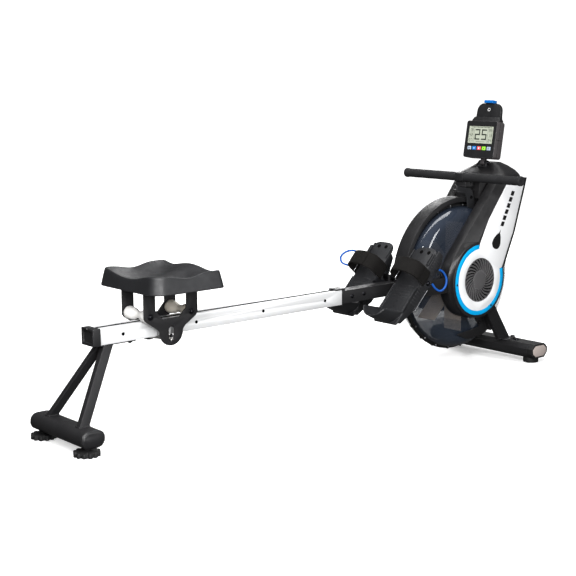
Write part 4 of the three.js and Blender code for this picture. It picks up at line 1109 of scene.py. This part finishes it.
def leveling_feet():
    """Threaded feet that are turned by hand, each with a ring of finger lobes."""
    profile = [(0.01, 0.2), (31, 0.2), (33, 1.4), (33, 14), (31.5, 16)]
    profile += [(28, 17), (15, 17.6), (13, 19), (13, 25.6), (0.01, 25.6)]
    lobe = [(0.01, 0.4), (5.6, 0.4), (6.6, 1.6), (6.6, 13.5), (5.4, 15.6), (0.01, 16)]
    lobes, reach = 12, 34.2
    for label, side in SIDES:
        foot = Build()
        foot.lathe(profile, facing((0, side * FOOT_Y, 0), UP), 48)
        for i in range(lobes):
            angle = math.tau * (i + 0.5) / lobes
            spot = (reach * math.cos(angle), side * FOOT_Y + reach * math.sin(angle), 0)
            foot.lathe(lobe, facing(spot, UP), 20)
        made = foot.done(f"lobed_foot_{label}", f"leveler_{label}", "rubber", "rubber")
        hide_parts(f"leveling_foot_{label}")


def rest_arm():
    """The side arm that stays the handle rest against the end of the tank's hoop."""
    upright = side_face((0, 0, 0), -1)
    outline = [
        (1695, 658), (1739, 650), (1754, 630), (1758, 595), (1793, 586), (1800, 598),
        (1789, 640), (1783, 657), (1771, 667), (1734, 672), (1695, 679),
    ]
    arm = Build()
    arm.prism(outline, 35, 41, upright)
    arm.prism([(1700, 655), (1738, 647), (1741, 652), (1702, 660)], 35, 43, upright)
    made = arm.done("rest_arm", "base", "frame", "pedal")
    edge = made.modifiers.new("edge", "BEVEL")
    edge.width, edge.segments, edge.limit_method = 0.0015, 2, "ANGLE"
    # A near-black disc in the arm's hole: painted shade.
    hole = Build()
    face = upright @ Matrix.Translation((1777, 632, 41))
    hole.lathe([(7, 0), (7, 0.5), (6, 0.5), (5.4, 0.2), (0.01, 0.2)], face, 32)
    hole.done("rest_arm_hole", "base", "frame", "dark")


def console_details():
    """The console's display, plate, ledge, keys, tilt bolt and holder trim."""
    surround = Build()
    # A raised lip round the display window.
    lip = rounded(62.6, 35.2, (2, 2, 2, 2), 3, 2)
    hole = rounded(60.4, 33.0, (1.4, 1.4, 1.4, 1.4), 3, 2)
    levels = ((lip, -0.3), (lip, 0.5), (hole, 0.9), (hole, -0.4))
    rings = [[(a, b + WINDOW_UP, h) for a, b in outline] for outline, h in levels]
    surround.loft(rings, CONSOLE, caps=(False, False))
    # The seam round the housing's side, and the ridge over the display.
    for edge in (-1, 1):
        x = edge * 75
        surround.box(x - 0.35, x + 0.35, 71.4, 72.6, -43, -3, place=CONSOLE)
        surround.box(x - 0.3, x + 0.3, 4, 138, -19.6, -18.6, place=CONSOLE)
    surround.done("display_surround", "console", "plastic", "bezel")

    # The black front plate, cut out for the display, and the ledge the holder stands on.
    plate = Build()
    window = [(a, b + WINDOW_UP) for a, b in rounded(62.5, 35.1, (2, 2, 2, 2), 5, 8)]
    edge = [(a, b + 71) for a, b in rounded(74.2, 70.2, (7, 7, 7, 7), 5, 8)]
    levels = ((window, -0.8), (window, 0.2), (edge, 0.2), (edge, -0.5))
    rings = [[(a, b, h) for a, b in line] for line, h in levels]
    plate.loft(rings, CONSOLE, caps=(False, False))
    plate.done("display_plate", "console", "plastic", "plastic")
    ledge = Build()
    levels = ((69, 142.4), (69, 147), (64, 157), (61, 160))
    rings = []
    for half, up in levels:
        outline = rounded(half, 14 - (up - 142) * 0.3, (4, 4, 4, 4), 4, 2)
        rings.append([(a, up, -30 + b) for a, b in outline])
    ledge.loft(rings, CONSOLE)
    ledge.done("holder_ledge", "console", "plastic", "plastic")

    figures = Build()
    depth = (-0.34, -0.12)
    for value, x in (("2", -30), ("5", 3)):
        digit(figures, value, x, 68, 27, 43, 7.4, depth)
    small = (
        (-57, 101, "18"), (-57, 82, "42"), (-57, 61, "07"),
        (38, 101, "96"), (38, 82, "13"), (38, 61, "24"),
    )
    for x, y, text in small:
        for k, value in enumerate(text):
            digit(figures, value, x + 10 * k, y, 7.6, 12, 2.2, depth)
    for k in range(14):
        figures.box(-46 + 7 * k, -42 + 7 * k, 116, 119, *depth, place=CONSOLE)
    for x in (-34, 34):
        figures.box(x - 0.4, x + 0.4, 58, 115, *depth, place=CONSOLE)
    for y in (80, 99):
        figures.box(-58, -37, y - 1.6, y - 1.1, *depth, place=CONSOLE)
        figures.box(37, 58, y - 1.6, y - 1.1, *depth, place=CONSOLE)
    figures.box(-20, 22, 61.5, 62.6, *depth, place=CONSOLE)
    figures.done("display_figures", "console", "screen", "segment")

    keys = ("key_grey", "key_blue", "key_red", "key_green", "key_grey")
    slots = ("button_grey", "button_blue", "button_red", "button_green", "button_grey")
    for i, (material, slot) in enumerate(zip(keys, slots)):
        x = (i - 2) * 24
        key = Build()
        outline = rounded(9.3, 6.8, (2, 2, 2, 2), 4, 2)
        levels = ((1, -2.6), (1, 0.7), (0.97, 1.2), (0.9, 1.45), (0.5, 1.6))
        rings = [[(x + a * k, KEYS_UP + b * k, h) for a, b in outline] for k, h in levels]
        key.loft(rings, CONSOLE)
        made = key.done(f"key_{i + 1}", f"button_{i + 1}", slot, material)
        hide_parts(f"console_button_{i + 1}")
        sign = Build()
        ink = (1.5, 1.75)
        if i == 0:
            sign.prism([(x - 2.6, 33.6), (x + 3.4, 37), (x - 2.6, 40.4)], *ink, CONSOLE)
        elif i == 1:
            sign.prism([(x - 3.4, 35.2), (x + 3.4, 35.2), (x, 40)], *ink, CONSOLE)
        elif i == 2:
            sign.box(x - 2.8, x + 2.8, 34.2, 39.8, *ink, place=CONSOLE)
        elif i == 3:
            sign.prism([(x - 3.4, 38.8), (x + 3.4, 38.8), (x, 34)], *ink, CONSOLE)
        else:
            for dx in (-2.6, 1):
                sign.box(x + dx, x + dx + 1.6, 34, 40, *ink, place=CONSOLE)
        sign_ink = "white_ink" if i in (1, 2) else "segment"
        sign.done(f"key_sign_{i + 1}", f"button_{i + 1}", slot, sign_ink)

    hinge = Build()
    hinge.bolt((1893, -20.2, 756), (0, -1, 0), 5.2, washer=8)
    hinge.nut((1893, 20.2, 756), (0, 1, 0), 5.6, 4, washer=8)
    hinge.done("tilt_bolt", "base", "steel", "black_steel")

    holder = Build()
    for up in (152, 158):
        holder.box(-52, 52, up, up + 2.2, -30.6, -29.2, 0.4, place=CONSOLE)
    holder.done("holder_ribs", "console", "plastic", "plastic")
    dot = Build()
    holder_face = CONSOLE @ Matrix.Translation((0, 190, -30))
    dot.lathe([(6.4, 0), (6.4, 0.35), (4.4, 0.35), (4.4, 0)], holder_face, 40)
    dot.done("holder_print", "console", "plastic", "white_ink")


# ---------- frame fittings ----------
def weld(build, corners):
    """A bead of weld round a closed line of corners, with its ripples."""
    radius = 2.6
    points = []
    for a, b in zip(corners, [*corners[1:], corners[0]]):
        a, b = Vector(a), Vector(b)
        steps = max(2, round((b - a).length / 2.2))
        points += [a.lerp(b, k / steps) for k in range(steps)]
    count = len(points)
    build.tube(points, lambda share: radius * (1 + 0.22 * math.sin(share * count * 2.1)), 8, closed=True)


RAIL_TOP, RAIL_SLOT = 347.6, 7.5
RAIL_SCREW_XS, RAIL_SCREW_Z = (202, 480, 758, 1037), 321
STABILIZER_TOP = 74.4
CORNERS = ((-1, -1), (1, -1), (1, 1), (-1, 1))


def frame_fittings():
    """Weld beads, bolts, screws, washers and inserts on the frame, and a strip of painted shade over the
    rail's slot.
    """
    beads = Build()
    for side in (1, -1):
        for x, y, z, half_long, half_wide in ((10.5, 88, 78.6, 17, 10), (1917, 95, 75.5, 31, 9.4)):
            weld(beads, [(x + a * half_long, side * y + b * half_wide, z) for a, b in CORNERS])
    beads.done("weld_beads", "base", "frame", "frame", angle=80)

    bolts = Build()
    for side in (1, -1):
        bolts.bolt((1440, side * 104.4, 322), (0, side, 0), 7, washer=10)
        bolts.bolt((1806, side * 69, 148), (0, side, 0), 5, washer=7.5)
        bolts.bolt((1934, side * 150, STABILIZER_TOP), UP, 7, washer=11)
        for x in (130, 232):
            bolts.bolt((x, side * 15, 291.6), (0, 0, -1), 5.5, washer=8)
        bolts.nut((1784, side * 24.2, 630), (0, side, 0), 6, 4, washer=9)
    bolts.done("frame_bolts", "base", "steel", "black_steel")

    cores = Build()
    core = [(7.5, 0), (7.5, 0.8), (6.6, 1.6), (2.6, 1.9), (2.6, 3.2), (2.0, 3.6), (0.01, 3.6)]
    for x, z in ((1169, 321), (1227, 324)):
        for side in (1, -1):
            cores.lathe(core, facing((x, side * 24.2, z), (0, side, 0)), 28)
    cores.done("neck_bolts", "base", "steel", "black_steel")

    # A flat near-black strip over the rail's centre slot, painted shade where the slot is, and the black
    # screws along its two sides.
    slot_shade_strip = Build()
    slot_shade_strip.box(119, 1116, -RAIL_SLOT, RAIL_SLOT, RAIL_TOP + 0.02, RAIL_TOP + 0.2)
    slot_shade_strip.done("rail_slot_painted_shade", "base", "rail", "dark")
    screws = Build()
    head = [(5.4, 0), (5.4, 0.5), (4.6, 0.9), (2.2, 0.9), (2.2, 0.3), (0.01, 0.3)]
    for x in RAIL_SCREW_XS:
        for side in (1, -1):
            screws.lathe(head, facing((x, side * 25.05, RAIL_SCREW_Z), (0, side, 0)), 24)
    screws.done("rail_screws", "base", "steel", "dark")

    knobs = Build()
    for side in (1, -1):
        place = facing((1944, side * 122, STABILIZER_TOP), UP)
        knobs.lathe([(9, 0), (9, 9), (8.2, 11), (0.01, 11)], place, 20)
        knobs.lathe([(11, 0), (11, 2.4), (9.5, 3.4), (0.01, 3.4)], place, 20)
    knobs.done("stabilizer_knobs", "base", "plastic", "rubber")
    plates = Build()
    for side in (1, -1):
        plates.box(1896, 1958, side * 119 - 10, side * 119 + 10, 74.3, 76.1, 0.6)
    plates.done("stabilizer_plates", "base", "steel", "steel")

    stems = Build()
    for side in (1, -1):
        place = facing((0, side * FOOT_Y, 17), UP)
        thread = [(6 - 0.4 * (i % 2), i * 0.55) for i in range(17)]
        stems.lathe([(11, 0), (11, 1.2), (6, 1.6), *thread], place, 24)
    stems.done("foot_plate_washers", "base", "steel", "steel")

    inserts = Build()
    for side in (1, -1):
        octagon = ((39, -8), (39, 8), (24, 21), (-24, 21), (-39, 8), (-39, -8), (-24, -21), (24, -21))
        outline = [(1934 + a, 47 + b) for a, b in octagon]
        place = side_face((0, side * 262, 0), side)
        inserts.prism(outline, -0.5, 1.2, place, bevel=0.8, segments=2, upright=False)
    inserts.done("cap_inserts", "base", "plastic", "cap_face")


# ---------- studio ----------
def area(name, spot, target, size, energy):
    """A rectangular light of energy watts at spot, turned towards target."""
    data = bpy.data.lights.new(name, "AREA")
    data.shape, data.size, data.size_y = "RECTANGLE", *size
    data.energy = energy
    light = bpy.data.objects.new(name, data)
    bpy.context.scene.collection.objects.link(light)
    light.location = spot
    light.rotation_mode = "QUATERNION"
    light.rotation_quaternion = (Vector(target) - Vector(spot)).to_track_quat("-Z", "Y")


def studio():
    scene = bpy.context.scene
    scene.view_settings.view_transform = "Standard"
    scene.view_settings.look = "Medium High Contrast"
    world = bpy.data.worlds.new("studio")
    world.use_nodes = True
    tree = world.node_tree
    paper, air = tree.nodes["Background"], tree.nodes.new("ShaderNodeBackground")
    paper.inputs["Color"].default_value = air.inputs["Color"].default_value = (1, 1, 1, 1)
    paper.inputs["Strength"].default_value, air.inputs["Strength"].default_value = 0.98, 0.14
    seen, mix = tree.nodes.new("ShaderNodeLightPath"), tree.nodes.new("ShaderNodeMixShader")
    tree.links.new(seen.outputs["Is Camera Ray"], mix.inputs[0])
    tree.links.new(air.outputs[0], mix.inputs[1])
    tree.links.new(paper.outputs[0], mix.inputs[2])
    tree.links.new(mix.outputs[0], tree.nodes["World Output"].inputs["Surface"])
    scene.world = world

    mesh = bpy.data.meshes.new("floor")
    reach = 14
    mesh.from_pydata([(reach * a, reach * b, 0) for a, b in CORNERS], [], [(0, 1, 2, 3)])
    mesh.materials.append(floor_finish())
    floor = bpy.data.objects.new("floor", mesh)
    floor.location.z = -0.0004
    floor.visible_diffuse = floor.visible_glossy = False
    scene.collection.objects.link(floor)

    area("key", (-2.3, -1.2, 1.9), (0.2, 0, 0.4), (0.8, 2.0), 62)
    area("overhead", (0.2, 0.3, 3.4), (0.1, 0, 0.2), (4.0, 1.4), 76)
    area("fill", (1.4, -3.4, 1.4), (0.6, 0, 0.4), (0.7, 2.0), 34)
    area("rim", (2.4, 2.2, 2.2), (0.6, 0, 0.4), (0.8, 2.0), 45)
    area("streak", (-1.35, -2.05, 1.35), (0.6, 0, 0.45), (0.17, 2.5), 80)


add_camera()
pull_loops()
dress_frame()
seat_pad()
seat_carriage()
for each_label, each_side in SIDES:
    pedal(each_label, each_side)
    foot_strap(each_label, each_side)
tank()
covers()
handle()
drive_strap()
leveling_feet()
rest_arm()
console_details()
frame_fittings()
studio()
